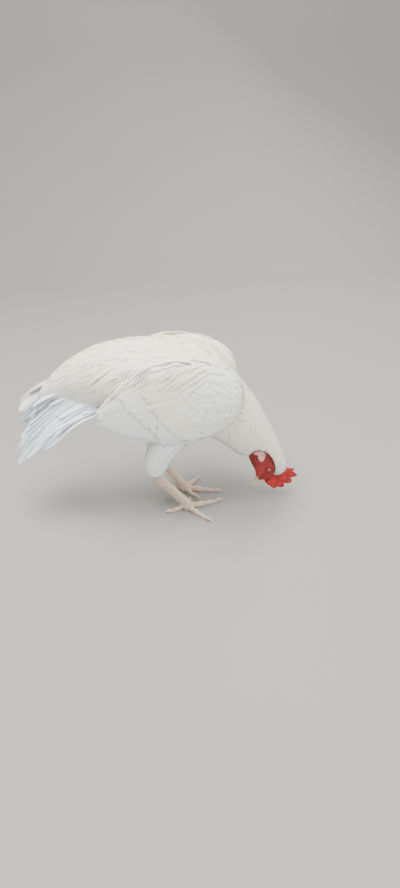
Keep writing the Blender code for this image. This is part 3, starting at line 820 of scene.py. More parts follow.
def plate_row(node, start, end, outward, count, width, overlap, bend):
    """Places of plates down a leg or toe: where, which way they run and face, and their size."""
    run = end - start
    solid = read(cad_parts[node].data)
    beside = run.cross(outward).normalized()
    for k in range(count):
        at = start + run * ((k + 0.5) / count)
        near = solid[np.abs((solid - np.array(at)) @ np.array(run.normalized())) < run.length * 0.16]
        if len(near) > 5:
            shift = (near - np.array(at)) @ np.array(beside)
            at = at + beside * float(shift.max() + shift.min()) / 2
            at = at + outward * float(((near - np.array(at)) @ np.array(outward)).max())
        wide = width[0] + (width[1] - width[0]) * k / max(count - 1, 1)
        extent = (wide, run.length / count * overlap, bend)
        yield at + outward * PLATE_ABOVE, run.normalized(), outward, extent


def scute_places():
    """All the rows of both legs: the shank's front and back, and the four toes."""
    for side, _ in SIDES:
        hock, sole = HOCK_AT[side], SOLE_AT[side]
        shank = f"shank_{side}"
        down = (sole - hock).normalized()
        beside = (Vector((0, 1, 0)) - down * down.y).normalized()
        front = beside.cross(down).normalized()
        if front.x < 0:
            front = -front
        yield from plate_row(shank, hock + down * 0.004, sole - down * 0.014, front, *FRONT_ROW)
        for turn in (-0.5, 0.5):
            back = (-front + beside * turn).normalized()
            yield from plate_row(shank, hock + down * 0.006, sole - down * 0.030, back, *BACK_ROW)
        for toe in TOES:
            node = f"toe_{toe}_{side}"
            solid = read(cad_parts[node].data)
            far = Vector(solid[np.linalg.norm(solid - np.array(sole), axis=1).argmax()])
            far.z = 0.003
            near = sole + (far - sole).normalized() * 0.013
            near.z = 0.007
            count = max(3, round((far - near).length / TOE_PITCH))
            yield from plate_row(node, near, far, Vector((0, 0, 1)), count, *TOE_ROW)


places = list(scute_places())
seeds_mesh = bpy.data.meshes.new("scutes")
seeds_mesh.from_pydata([p[0] for p in places], [], [])
for label, column in (("run", 1), ("face", 2), ("extent", 3)):
    layer = seeds_mesh.attributes.new(label, "FLOAT_VECTOR", "POINT")
    layer.data.foreach_set("vector", np.array([p[column] for p in places], np.float32).ravel())
scutes, plate = added("scutes", seeds_mesh), added("plate", plate_mesh())

tree = bpy.data.node_groups.new("lay_scutes", "GeometryNodeTree")
tree.interface.new_socket("Geometry", in_out="OUTPUT", socket_type="NodeSocketGeometry")
sockets = {}
for label, kind in (
    ("Geometry", "Geometry"),
    ("Plate", "Object"),
    ("Leg", "Object"),
    ("Plate scale", "Float"),
    ("Finish", "Material"),
):
    socket = tree.interface.new_socket(label, in_out="INPUT", socket_type="NodeSocket" + kind)
    sockets[label] = socket.identifier


def geo(kind, settings=None, inputs=None, output=0):
    """Adds a node to the scutes' tree: its settings, then the values or links of its sockets."""
    made = tree.nodes.new(kind)
    for key, value in (settings or {}).items():
        setattr(made, key, value)
    for key, value in (inputs or {}).items():
        if isinstance(value, bpy.types.NodeSocket):
            tree.links.new(value, made.inputs[key])
        else:
            made.inputs[key].default_value = value
    return made.outputs[output] if made.outputs else made


def named(label, kind="FLOAT_VECTOR"):
    return geo("GeometryNodeInputNamedAttribute", {"data_type": kind}, {"Name": label}, "Attribute")


# The plates stand on the seeds, turned by their run and face. Each of their points then goes to the
# nearest place on the leg's skin, and out from it by its rise.
entry = tree.nodes.new("NodeGroupInput").outputs
one_plate = geo("GeometryNodeObjectInfo", None, {"Object": entry["Plate"]}, "Geometry")
leg = geo("GeometryNodeObjectInfo", None, {"Object": entry["Leg"]}, "Geometry")
axes = {"primary_axis": "Z", "secondary_axis": "Y"}
turned = geo("FunctionNodeAxesToRotation", axes, {0: named("face"), 1: named("run")})
SCALE = {"operation": "SCALE"}
size = geo("ShaderNodeVectorMath", SCALE, {0: named("extent"), "Scale": entry["Plate scale"]})
seeds = {"Points": entry["Geometry"], "Instance": one_plate, "Rotation": turned, "Scale": size}
real = geo("GeometryNodeRealizeInstances", None, {0: geo("GeometryNodeInstanceOnPoints", None, seeds)})
here, facing = geo("GeometryNodeInputPosition"), geo("GeometryNodeInputNormal")
faces = {"target_element": "FACES"}
on_leg = geo("GeometryNodeProximity", faces, {0: leg, "Sample Position": here}, "Position")
sampled = {0: leg, "Value": facing, "Sample Position": here}
outward = geo("GeometryNodeSampleNearestSurface", {"data_type": "FLOAT_VECTOR"}, sampled)
raised = geo("ShaderNodeVectorMath", SCALE, {0: outward, "Scale": named("rise", "FLOAT")})
spot = geo("ShaderNodeVectorMath", {"operation": "ADD"}, {0: on_leg, 1: raised})
moved = geo("GeometryNodeSetPosition", None, {"Geometry": real, "Position": spot})
finished = geo("GeometryNodeSetMaterial", None, {"Geometry": moved, "Material": entry["Finish"]})
geo("NodeGroupOutput", None, {0: finished})

scale_horn = Look("scute_horn", Roughness=0.42)
patches = scale_horn.noise(300, detail=4)
specks = scale_horn.ramp(scale_horn.noise(900), 0.55, 0.75)
# Painted shade: each plate is darker where it lies low, under the lip of the plate before it and at its
# sides.
rise = scale_horn.ramp(scale_horn.attribute("rise"), 0.0001, PLATE_LIP * 0.7)
scute_colour = scale_horn.mix(scale_horn.ramp(patches, 0.36, 0.68), SCUTE_TAN, SCUTE_PINK)
scute_colour = scale_horn.mix(specks * 0.4, scute_colour, SCUTE_SPECK)
scute_colour = scale_horn.mix((1 - rise) * 0.55, scute_colour, SCUTE_SHADE)
fine_grain = (scale_horn.noise(1600), 0.3, 0.0002)
scale_horn.paint(Base_Color=scute_colour, Roughness=0.36 + patches * 0.2, bump=fine_grain)
plate.data.materials.append(scale_horn.material)
lay = scutes.modifiers.new("lay", "NODES")
lay.node_group = tree
lay[sockets["Plate"]] = plate
lay[sockets["Leg"]] = skin
lay[sockets["Plate scale"]] = 1.0
lay[sockets["Finish"]] = scale_horn.material
settle(scutes)
bpy.data.objects.remove(plate)
scutes.data.shade_smooth()
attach(scutes, "root")

# ---------------------------------------------------------------------------------------------
# THE BODY FEATHERS
# Every feather is a thin vane with a quill ridge. Its root lies in the coat and its tip rises to the
# coat's outer surface, over the root of the next. They shrink towards the face and the hocks, are long
# and pointed on the neck and the saddle, and round on the breast, the thighs and the wings.
# ---------------------------------------------------------------------------------------------
KIN = {
    "neck": ["neck_upper", "neck_lower"],
    "body": ["trunk", "rump"],
    "wing_left": ["wing_shoulder_left", "wing_flight_left"],
    "wing_right": ["wing_shoulder_right", "wing_flight_right"],
    "thigh_left": ["thigh_left"],
    "thigh_right": ["thigh_right"],
}
PLUMED = ["trunk", "rump", "neck_lower", "neck_upper"]
PLUMED += [f"{part}_{side}" for part in ("wing_shoulder", "wing_flight", "thigh") for side, _ in SIDES]
GUIDE_GRAIN = 0.0021  # size of the squares of the coat's surface
PATCH = 0.003  # width of one feather's patch on the baking map
VANE_STATIONS = (0.0, 0.07, 0.22, 0.42, 0.62, 0.80, 0.92, 0.98, 1.0)  # the first and last are single points
CANDIDATES = 230000
CLOSENESS = 0.74  # of the spacing in the table below
FULLNESS = 1.22  # of the half widths in the table
TILT = 0.55  # of the depths in the table, for a coat that lies smooth
MOST_VANES = 3400  # in one piece, so that it stays a workable size
TURN_ASIDE = 0.3  # share of its length, from the root, in which a feather strays from the lie
COMES_FREE, TURNS_FREE = 0.0040, (0.15, 0.35)  # rise over the coat, and turn of the coat, to lose hold
RUMP_FROM, THIGH_TOP, THIGH_FRONT = -0.12, 0.178, 0.10
OUTER_SIDE = 0.55  # least sideways part of the normal there
INNER_REAR, WING_END = (0.045, 0.285), (-0.055, 0.290)  # x and z in front of and over which all is feathered
FLIGHT_FRONT, FLIGHT_LINE = 0.045, (-0.020, 0.262, 0.75)  # the line's x and z, and how steeply it falls
HIDDEN_LENGTH, HIDDEN_UNDER, HIDDEN_DEEPER = 0.6, 0.0022, 0.0015
dice = np.random.default_rng(11)

# The lie of the coat. Each row: x, z and distance from the midline; the way the feathers point, as x,
# outwards and z; their length and half width; their spacing; 1 for pointed or 0 for round tips; how
# cream they are; and how far their roots lie under the coat's surface.
LIE_OF_COAT = np.array(
    [
        (0.228, 0.060, 0.010, -0.45, 0.0, 0.90, 0.0075, 0.0017, 0.0022, 0.3, 0.25, 0.0030),
        (0.235, 0.100, 0.010, -0.35, 0.0, 0.94, 0.0120, 0.0023, 0.0027, 0.4, 0.45, 0.0036),
        (0.205, 0.062, 0.018, -0.45, 0.1, 0.90, 0.0070, 0.0016, 0.0021, 0.3, 0.30, 0.0028),
        (0.205, 0.120, 0.022, -0.45, 0.0, 0.90, 0.0140, 0.0024, 0.0028, 0.4, 0.50, 0.0040),
        (0.175, 0.105, 0.016, -0.78, 0.0, 0.62, 0.0100, 0.0022, 0.0026, 0.2, 0.35, 0.0036),
        (0.222, 0.150, 0.010, -0.42, 0.0, 0.91, 0.0260, 0.0029, 0.0036, 0.7, 0.55, 0.0045),
        (0.190, 0.145, 0.030, -0.50, 0.0, 0.86, 0.0240, 0.0029, 0.0036, 0.6, 0.58, 0.0045),
        (0.150, 0.118, 0.018, -0.78, 0.0, 0.62, 0.0180, 0.0034, 0.0038, 0.3, 0.40, 0.0045),
        (0.200, 0.195, 0.010, -0.52, 0.0, 0.85, 0.0440, 0.0034, 0.0044, 0.9, 0.65, 0.0055),
        (0.165, 0.175, 0.036, -0.62, 0.0, 0.78, 0.0400, 0.0036, 0.0046, 0.8, 0.58, 0.0055),
        (0.115, 0.145, 0.025, -0.86, 0.0, 0.50, 0.0260, 0.0052, 0.0056, 0.2, 0.40, 0.0060),
        (0.172, 0.240, 0.012, -0.66, 0.0, 0.75, 0.0600, 0.0037, 0.0048, 1.0, 0.70, 0.0065),
        (0.135, 0.215, 0.044, -0.78, 0.0, 0.62, 0.0560, 0.0040, 0.0052, 0.9, 0.52, 0.0065),
        (0.130, 0.290, 0.012, -0.84, 0.0, 0.54, 0.0680, 0.0038, 0.0050, 1.0, 0.70, 0.0070),
        (0.095, 0.255, 0.058, -0.92, 0.1, 0.32, 0.0560, 0.0042, 0.0056, 0.9, 0.48, 0.0070),
        (0.070, 0.320, 0.015, -0.99, 0.0, 0.10, 0.0600, 0.0046, 0.0058, 0.8, 0.60, 0.0070),
        (0.050, 0.165, 0.040, -1.00, 0.0, 0.10, 0.0300, 0.0064, 0.0068, 0.1, 0.00, 0.0065),
        (0.080, 0.190, 0.060, -0.95, 0.0, 0.25, 0.0300, 0.0062, 0.0066, 0.2, 0.05, 0.0065),
        (0.010, 0.335, 0.015, -1.00, 0.0, -0.02, 0.0480, 0.0054, 0.0064, 0.5, 0.50, 0.0070),
        (-0.050, 0.335, 0.015, -0.99, 0.0, -0.08, 0.0580, 0.0046, 0.0056, 0.8, 0.50, 0.0070),
        (-0.050, 0.315, 0.045, -0.96, 0.1, -0.26, 0.0700, 0.0040, 0.0050, 1.0, 0.45, 0.0070),
        (-0.110, 0.325, 0.012, -0.95, 0.0, -0.30, 0.0720, 0.0040, 0.0050, 1.0, 0.50, 0.0070),
        (-0.110, 0.290, 0.045, -0.86, 0.1, -0.52, 0.0800, 0.0040, 0.0048, 1.0, 0.40, 0.0070),
        (-0.165, 0.300, 0.010, -0.86, 0.0, -0.52, 0.0460, 0.0042, 0.0050, 0.9, 0.35, 0.0065),
        (-0.165, 0.265, 0.035, -0.80, 0.1, -0.62, 0.0480, 0.0042, 0.0050, 0.9, 0.25, 0.0065),
        (-0.200, 0.270, 0.010, -0.80, 0.0, -0.60, 0.0240, 0.0044, 0.0048, 0.7, 0.20, 0.0050),
        (-0.195, 0.235, 0.020, -0.80, 0.0, -0.60, 0.0240, 0.0044, 0.0048, 0.7, 0.10, 0.0050),
        (-0.040, 0.175, 0.040, -0.97, 0.0, 0.20, 0.0330, 0.0070, 0.0072, 0.1, 0.10, 0.0065),
        (-0.100, 0.200, 0.030, -0.90, 0.0, 0.30, 0.0360, 0.0070, 0.0072, 0.1, 0.10, 0.0065),
        (0.035, 0.180, 0.065, -0.75, 0.0, -0.65, 0.0250, 0.0058, 0.0062, 0.1, 0.10, 0.0060),
        (0.010, 0.150, 0.060, -0.45, 0.0, -0.88, 0.0230, 0.0052, 0.0056, 0.1, 0.15, 0.0055),
        (-0.010, 0.120, 0.050, -0.35, 0.0, -0.93, 0.0170, 0.0040, 0.0044, 0.1, 0.20, 0.0045),
        (-0.015, 0.096, 0.045, -0.35, 0.0, -0.93, 0.0090, 0.0024, 0.0028, 0.1, 0.20, 0.0034),
        (0.140, 0.285, 0.075, -0.92, 0.0, -0.15, 0.0230, 0.0062, 0.0056, 0.1, 0.25, 0.0050),
        (0.135, 0.240, 0.078, -0.92, 0.0, -0.10, 0.0243, 0.0065, 0.0058, 0.1, 0.25, 0.0050),
        (0.105, 0.310, 0.075, -0.96, 0.0, -0.20, 0.0297, 0.0072, 0.0064, 0.1, 0.30, 0.0055),
        (0.100, 0.250, 0.090, -0.97, 0.0, -0.16, 0.0297, 0.0077, 0.0068, 0.0, 0.30, 0.0055),
        (0.100, 0.200, 0.085, -0.97, 0.0, -0.05, 0.0324, 0.0077, 0.0068, 0.0, -0.10, 0.0055),
        (0.050, 0.315, 0.080, -0.97, 0.0, -0.20, 0.0378, 0.0084, 0.0074, 0.1, 0.25, 0.0060),
        (0.050, 0.250, 0.093, -0.98, 0.0, -0.18, 0.0392, 0.0094, 0.0080, 0.0, 0.38, 0.0060),
        (0.050, 0.190, 0.088, -0.99, 0.0, -0.05, 0.0446, 0.0094, 0.0080, 0.0, -0.35, 0.0060),
        (0.000, 0.300, 0.088, -0.97, 0.0, -0.24, 0.0459, 0.0091, 0.0080, 0.1, 0.10, 0.0060),
        (0.000, 0.240, 0.092, -0.98, 0.0, -0.20, 0.0540, 0.0106, 0.0090, 0.0, -0.10, 0.0060),
        (-0.060, 0.270, 0.085, -0.95, 0.0, -0.30, 0.0621, 0.0096, 0.0088, 0.2, 0.05, 0.0055),
        (-0.060, 0.220, 0.080, -0.97, 0.0, -0.22, 0.0594, 0.0103, 0.0092, 0.1, -0.40, 0.0050),
    ]
)


def unit(vectors):
    return vectors / np.maximum(np.linalg.norm(vectors, axis=-1, keepdims=True), 1e-9)


def surface_tree(mesh):
    """A finder over a mesh's triangles, with its points, the triangles' corners and the normals."""
    mesh.calc_loop_triangles()
    points, corners = read(mesh), read(mesh, "vertices", "loop_triangles")
    tree = BVHTree.FromPolygons(points.tolist(), corners.tolist())
    return tree, points, corners, read(mesh, "normal")


guide = gathered("coat_guide", PLUMED)
fused(guide, GUIDE_GRAIN)
biggest_island(guide)
write(guide.data, relaxed(read(guide.data), read(guide.data, "vertices", "edges", 2), 8))
GUIDE = surface_tree(guide.data)
bpy.data.objects.remove(guide)


def on_guide(points):
    """The nearest places on the coat's surface and the smooth normals there."""
    tree, corners_at, corners, normals = GUIDE
    found = [tree.find_nearest(point) for point in points]
    places = np.array([hit[0] for hit in found])
    faces = corners[[hit[2] for hit in found]]
    away = np.linalg.norm(corners_at[faces] - places[:, None], axis=2)
    weight = 1 / (away + 1e-4)
    blended = (normals[faces] * weight[:, :, None]).sum(1)
    return places, unit(blended)


def lie_at(points):
    """Reads the table of the lie of the coat at each place."""
    spot = np.stack([points[:, 0], points[:, 2], np.abs(points[:, 1])], axis=1)
    away = ((spot[:, None] - LIE_OF_COAT[None, :, :3]) ** 2 * (1, 1, 1.6)).sum(2)
    weight = 1 / (away + 0.00006) ** 2
    weight /= weight.sum(1, keepdims=True)
    row = weight @ LIE_OF_COAT[:, 3:]
    way = row[:, :3].copy()
    way[:, 1] *= np.sign(points[:, 1])
    return {
        "way": unit(way),
        "length": row[:, 3],
        "half": row[:, 4],
        "spacing": row[:, 5],
        "point": row[:, 6],
        "cream": row[:, 7],
        "depth": row[:, 8],
    }


def strewn(count):
    """Root places over the coat, no two closer than the spacing there."""
    _, points, corners, _ = GUIDE
    a, b, c = (points[corners[:, k]] for k in range(3))
    area = np.linalg.norm(np.cross(b - a, c - a), axis=1)
    face = dice.choice(len(corners), count, p=area / area.sum())
    u, v = dice.random(count), dice.random(count)
    u, v = np.where(u + v > 1, 1 - u, u)[:, None], np.where(u + v > 1, 1 - v, v)[:, None]
    spots = a[face] * (1 - u - v) + b[face] * u + c[face] * v
    spots = spots[~is_bare(spots)]
    spacing = lie_at(spots)["spacing"] * CLOSENESS
    finder = KDTree(len(spots))
    for k, spot in enumerate(spots):
        finder.insert(spot, k)
    finder.balance()
    free = np.ones(len(spots), bool)
    kept = []
    for k in range(len(spots)):
        if free[k]:
            kept.append(k)
            free[[hit[1] for hit in finder.find_range(spots[k], spacing[k])]] = False
    return spots[kept]


def vane_width(t, point):
    """Share of the half width along a vane, for round and for pointed tips."""
    quill = np.clip(t / 0.25, 0.16, 1) ** 0.7
    rounded = np.sqrt(np.clip(1 - np.clip((t - 0.55) / 0.47, 0, 1) ** 2, 0, 1))
    pointed = np.clip((1 - t) * 1.5, 0, 1) ** 0.8
    return quill * (rounded * (1 - point) + pointed * point)


def paths_along_coat(roots, length, depth, lift, aims=None, jitter=0.10, grip=0.0028):
    """Middle lines of feathers that follow the lie of the coat, or run to aims, and their normals."""
    here, normal = on_guide(roots)
    first_normal = normal
    soft = (roots[:, 0] < RUMP_FROM) | ((roots[:, 2] < THIGH_TOP) & (roots[:, 0] < THIGH_FRONT))
    spin = dice.normal(0, jitter, len(roots))[:, None]
    lines, normals, way = [], [], None
    for t, previous in zip(VANE_STATIONS, (0.0, *VANE_STATIONS)):
        wish = lie_at(here)["way"] if aims is None else unit(aims - here + 1e-9)
        way = wish if way is None else unit(way * 0.5 + wish * 0.5)
        way = unit(way - normal * (way * normal).sum(1, keepdims=True))
        if t < TURN_ASIDE:
            way = unit(way + np.cross(normal, way) * spin)
        ahead = here + way * (length * (t - previous))[:, None]
        surface, normal_now = on_guide(ahead)
        off = ((ahead - surface) * normal_now).sum(1)
        # Past an edge, or where the coat turns sharply, a stiff feather runs on free. The rump's and
        # the thighs' are soft and wrap round.
        hold = 1 - np.clip((off - grip) / COMES_FREE, 0, 1)[:, None]
        turned = np.clip(((first_normal * normal_now).sum(1) - TURNS_FREE[0]) / TURNS_FREE[1], 0, 1)
        hold = hold * np.where(soft, 1, turned)[:, None]
        here = ahead * (1 - hold) + surface * hold
        normal = unit(normal * (1 - 0.6 * hold) + normal_now * 0.6 * hold)
        rise = -depth + (depth + lift) * t**0.7
        lines.append(here + normal * rise[:, None])
        normals.append(normal)
    return np.stack(lines, 1), np.stack(normals, 1)


def vanes(name, lines, normals, half, point, cream, shade, cup=0.05, thick=0.0004, ragged=0.0):
    """One mesh of many feathers, with a vane map, a baking map, and the cream and shade of each."""
    stations = np.array(VANE_STATIONS)
    count, steps = lines.shape[:2]
    forward = unit(np.gradient(lines, axis=1))
    normals = unit(normals - forward * (normals * forward).sum(2, keepdims=True))
    across = np.cross(forward, normals)
    width = vane_width(stations[None, :], point[:, None]) * half[:, None]
    uneven = 1 + dice.normal(0, 1, (2, count, steps)) * ragged * stations
    inner = slice(1, steps - 1)
    middle, up, side = lines[:, inner], normals[:, inner], across[:, inner]
    left_w, right_w = ((width * np.clip(share, 0.3, 1.3))[:, inner, None] for share in uneven)
    thickness = np.minimum(thick, half * 0.08)[:, None, None] * (1 - 0.5 * stations[inner])[None, :, None]
    droop = cup * width[:, inner, None]
    rings = np.stack(
        [
            middle - side * left_w - up * droop,
            middle + up * thickness,
            middle + side * right_w - up * droop,
            middle - up * thickness * 0.7,
        ],
        axis=2,
    )
    points = np.concatenate([rings.reshape(count, -1, 3), lines[:, :1], lines[:, -1:]], axis=1)
    per = points.shape[1]
    start, end = per - 2, per - 1
    last = start - 4  # the first point of the last ring
    u_of = (0.0, 0.5, 1.0, 0.5)
    quads, quad_uv, tris, tri_uv = [], [], [], []
    for r in range(steps - 3):
        for k in range(4):
            j = (k + 1) % 4
            quads.append((r * 4 + k, r * 4 + j, r * 4 + 4 + j, r * 4 + 4 + k))
            v0, v1 = stations[r + 1], stations[r + 2]
            quad_uv.append([(u_of[k], v0), (u_of[j], v0), (u_of[j], v1), (u_of[k], v1)])
    for k in range(4):
        j = (k + 1) % 4
        tris.append((j, k, start))
        tri_uv.append([(u_of[j], stations[1]), (u_of[k], stations[1]), (0.5, 0.0)])
        tris.append((last + k, last + j, end))
        tri_uv.append([(u_of[k], stations[-2]), (u_of[j], stations[-2]), (0.5, 1.0)])
    loops = np.concatenate([np.array(quads).ravel(), np.array(tris).ravel()])
    loop_uv = np.concatenate([np.array(quad_uv).reshape(-1, 2), np.array(tri_uv).reshape(-1, 2)])
    all_loops = (loops[None] + np.arange(count)[:, None] * per).ravel()
    all_sizes = np.tile([4] * len(quads) + [3] * len(tris), count)
    mesh = bpy.data.meshes.new(name)
    mesh.vertices.add(count * per)
    mesh.loops.add(len(all_loops))
    mesh.polygons.add(len(all_sizes))
    mesh.vertices.foreach_set("co", points.astype(np.float32).ravel())
    mesh.loops.foreach_set("vertex_index", all_loops.astype(np.int32))
    starts = np.concatenate([[0], np.cumsum(all_sizes)[:-1]])
    mesh.polygons.foreach_set("loop_start", starts.astype(np.int32))
    mesh.update(calc_edges=True)
    patches = skin_uv(lines[:, 0])[:, None] + (loop_uv[None] - 0.5) * PATCH
    for label, uv in (("vane", np.tile(loop_uv, (count, 1))), ("OFBake", patches)):
        mesh.uv_layers.new(name=label).data.foreach_set("uv", uv.astype(np.float32).ravel())
    reach = np.linalg.norm(np.diff(lines, axis=1), axis=2).sum(1)
    for label, values in (("cream", cream), ("shade", shade), ("reach", reach)):
        layer = mesh.attributes.new(label, "FLOAT", "POINT")
        layer.data.foreach_set("value", np.repeat(values, per).astype(np.float32))
    mesh.validate()
    mesh.shade_smooth()
    # A vane shades with the body's form: the corner normals of its two faces lean to the coat's own.
    quads_up = (np.arange(len(quads)) % 4 < 2).repeat(4)
    tris_up = (np.arange(len(tris)) // 2 % 4 < 2).repeat(3)
    faces_up = np.concatenate([quads_up, tris_up])
    round_off = side * 0.3
    ends = normals[:, [0, -1]]
    top = np.stack([up - round_off, up, up + round_off, up], axis=2).reshape(count, -1, 3)
    under = np.stack([-up - round_off, -up, round_off - up, -up], axis=2).reshape(count, -1, 3)
    top, under = np.concatenate([top, ends], axis=1), np.concatenate([under, -ends], axis=1)
    corner_normals = np.where(faces_up[None, :, None], top[:, loops], under[:, loops]).reshape(-1, 3)
    mesh.normals_split_custom_set(unit(corner_normals).tolist())
    return added(name, mesh)


def unwrapped_skin():
    """A thin copy of the skin, flattened into its own map, as a finder of places on that map."""
    flat = added("skin_map", skin.data.copy())
    step = flat.modifiers.new("thin", "DECIMATE")
    step.ratio = 0.05
    settle(flat)
    bpy.context.view_layer.objects.active = flat
    flat.select_set(True)
    bpy.ops.object.mode_set(mode="EDIT")
    bpy.ops.mesh.select_all(action="SELECT")
    bpy.ops.uv.smart_project(angle_limit=math.radians(66), island_margin=0.004)
    bpy.ops.object.mode_set(mode="OBJECT")
    tree, points, corners, _ = surface_tree(flat.data)
    uv = read(flat.data.uv_layers.active, "uv", "data", 2)
    loops = read(flat.data, "loops", "loop_triangles")
    bpy.data.objects.remove(flat)
    return tree, points[corners], uv[loops]


SKIN_MAP = unwrapped_skin()


def skin_uv(points):
    """Each place's nearest place on the skin's own flat map, kept clear of the map's edge."""
    tree, triangles, uvs = SKIN_MAP
    found = [tree.find_nearest(point) for point in points]
    places = np.array([hit[0] for hit in found])
    faces = [hit[2] for hit in found]
    a, b, c = (triangles[faces][:, k] for k in range(3))
    whole = np.cross(b - a, c - a)
    size = np.maximum((whole**2).sum(1), 1e-18)
    to_b = (np.cross(places - a, c - a) * whole).sum(1) / size
    to_c = (np.cross(b - a, places - a) * whole).sum(1) / size
    uv = uvs[faces]
    at = uv[:, 0] + (uv[:, 1] - uv[:, 0]) * to_b[:, None] + (uv[:, 2] - uv[:, 0]) * to_c[:, None]
    return np.clip(at, PATCH, 1 - PATCH)


# White vanes, cream or cool in tone, with fine barbs, a pale quill, three faint grey marks and painted shade
# at the roots.
FEATHER_WHITE, FEATHER_CREAM, FEATHER_COOL = (0.93, 0.925, 0.90), (0.94, 0.86, 0.52), (0.80, 0.885, 0.98)
QUILL_HORN, MARK_GREY = (0.80, 0.74, 0.60), (0.22, 0.22, 0.24)
BARBS, BARB_SLANT = 4400.0, 0.003
GREY_MARKS = (  # where and how large
    ((-0.2065, -0.030, 0.1897), 0.0048),
    ((-0.0044, -0.088, 0.2154), 0.0052),
    ((0.0718, -0.088, 0.1999), 0.0042),
)
plumage = Look("plumage_white", Roughness=0.62, Sheen_Weight=0.25, Sheen_Roughness=0.5, Subsurface_Weight=0.0)
vane_map = plumage.node("ShaderNodeUVMap", {"uv_map": "vane"})
u, v = (plumage.node("ShaderNodeSeparateXYZ", None, {0: vane_map}, axis) for axis in (0, 1))
off_quill = abs(u - 0.5) * 2
barbs = ((v * plumage.attribute("reach") - off_quill * BARB_SLANT) * BARBS).sine()
quill = 1 - plumage.ramp(off_quill, 0.04, 0.12)
tone = plumage.attribute("cream") + (plumage.noise(60) - 0.5) * 0.5
colour = plumage.mix(plumage.ramp(tone, 0.0, 1.0), FEATHER_WHITE, FEATHER_CREAM)
colour = plumage.mix(plumage.ramp(tone * -1, 0.0, 1.0), colour, FEATHER_COOL)
# Painted shade: each vane is up to 6% darker towards its root, where the feathers before it lie over it.
root_shadow = plumage.ramp(v, 0.0, 0.5) * 0.06 + 0.94
edge = 1 - plumage.ramp(off_quill, 0.7, 1.0) * 0.10
# Each feather's own tone, its barbs and its edges, times the painted shade at its root.
tone_and_root_shade = plumage.attribute("shade") * (1 + barbs * 0.035) * edge * root_shadow
tone_and_root_shade = plumage.node("ShaderNodeCombineXYZ", None, {0: tone_and_root_shade, 1: tone_and_root_shade, 2: tone_and_root_shade})
colour = plumage.mix(1.0, colour, tone_and_root_shade, "MULTIPLY")
colour = plumage.mix(quill * 0.35, colour, QUILL_HORN)
for spot, size in GREY_MARKS:
    away = plumage.vector("DISTANCE", plumage.place(), spot, output=1)
    blot = 1 - plumage.ramp(away + (plumage.noise(500) - 0.5) * 0.006, size * 0.5, size)
    colour = plumage.mix(blot * 0.6, colour, MARK_GREY)
plumage.paint(Base_Color=colour, bump=(barbs * 0.4 + quill * 0.8, 0.25, 0.0002))


def finish_feathers(piece, nodes=()):
    piece.data.materials.append(plumage.material)
    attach(piece, "root")
    if nodes:
        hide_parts(*nodes)


roots = strewn(CANDIDATES)
away = np.stack([distances(tree_of(nodes), roots, 0.03) for nodes in KIN.values()], axis=1)
tract = away.argmin(axis=1)
on_wing = (tract == 2) | (tract == 3)
outward = on_guide(roots)[1][:, 1] * np.sign(roots[:, 1]) > OUTER_SIDE
root_x, root_z = roots[:, 0], roots[:, 2]
# None grow inside the wing's rear half, nor on its very end.
rim = on_wing & ~outward & (root_x < INNER_REAR[0]) & (root_z < INNER_REAR[1])
rim |= on_wing & (root_x < WING_END[0]) & (root_z < WING_END[1])
# The flight feathers' own ground, behind a line across the wing from front and low to high and rear.
line_x, line_z, fall = FLIGHT_LINE
flight_ground = on_wing & outward & (root_x < FLIGHT_FRONT) & (root_z < line_z - (root_x - line_x) * fall)


def strewn_piece(label, rows):
    """A piece of body feathers. Those on the flight feathers' ground are short and lie deep."""
    lie = lie_at(roots[rows])
    length = lie["length"] * dice.normal(1, 0.10, len(rows)).clip(0.7, 1.25)
    half = lie["half"] * FULLNESS * dice.normal(1, 0.08, len(rows)).clip(0.75, 1.2)
    hidden = flight_ground[rows]
    length = length * np.where(hidden, HIDDEN_LENGTH, 1.0)
    lift = dice.random(len(rows)) * 0.0007 - hidden * HIDDEN_UNDER
    depth = lie["depth"] * TILT + hidden * HIDDEN_DEEPER
    lines, normals = paths_along_coat(roots[rows], length, depth, lift)
    shade = dice.normal(0.975, 0.02, len(rows)).clip(0.90, 1.0)
    cream = lie["cream"] + dice.normal(0, 0.08, len(rows))
    piece = vanes(label, lines, normals, half, lie["point"], cream, shade, ragged=0.06)
    finish_feathers(piece)


for number, name in enumerate(KIN):
    mine = np.flatnonzero((tract == number) & ~rim)
    mine = mine[np.argsort(roots[mine, 0])]
    for part, rows in enumerate(np.array_split(mine, math.ceil(len(mine) / MOST_VANES))):
        strewn_piece(f"feathers_{name}_{part + 1}", rows)

# Short feathers round the face rise from the skin over the roots of the neck's feathers. More and
# longer ones grow where the skin lies deep under the coat, no deeper than CUFF_SUNK.
CUFF, CUFF_LENGTH, CUFF_HALF, CUFF_SUNK = 1200, 0.0085, 0.0015, 0.012
CUFF_RING = (1.03, 0.085)  # its middle and half width, as shares of the bare face's oval
skin_points = read(skin.data)
edge_of_face = np.abs(in_oval(skin_points) - CUFF_RING[0]) < CUFF_RING[1]
edge_of_face &= (skin_points[:, 2] < 0.16) & (skin_points[:, 0] > 0.13)
edge_of_face &= (skin_points - np.array(BETWEEN_EYES)) @ np.array(BILLWARD) < 0.014
edge_of_face = np.flatnonzero(edge_of_face)


def under_coat(points):
    return np.linalg.norm(on_guide(points)[0] - points, axis=1).clip(0, CUFF_SUNK)


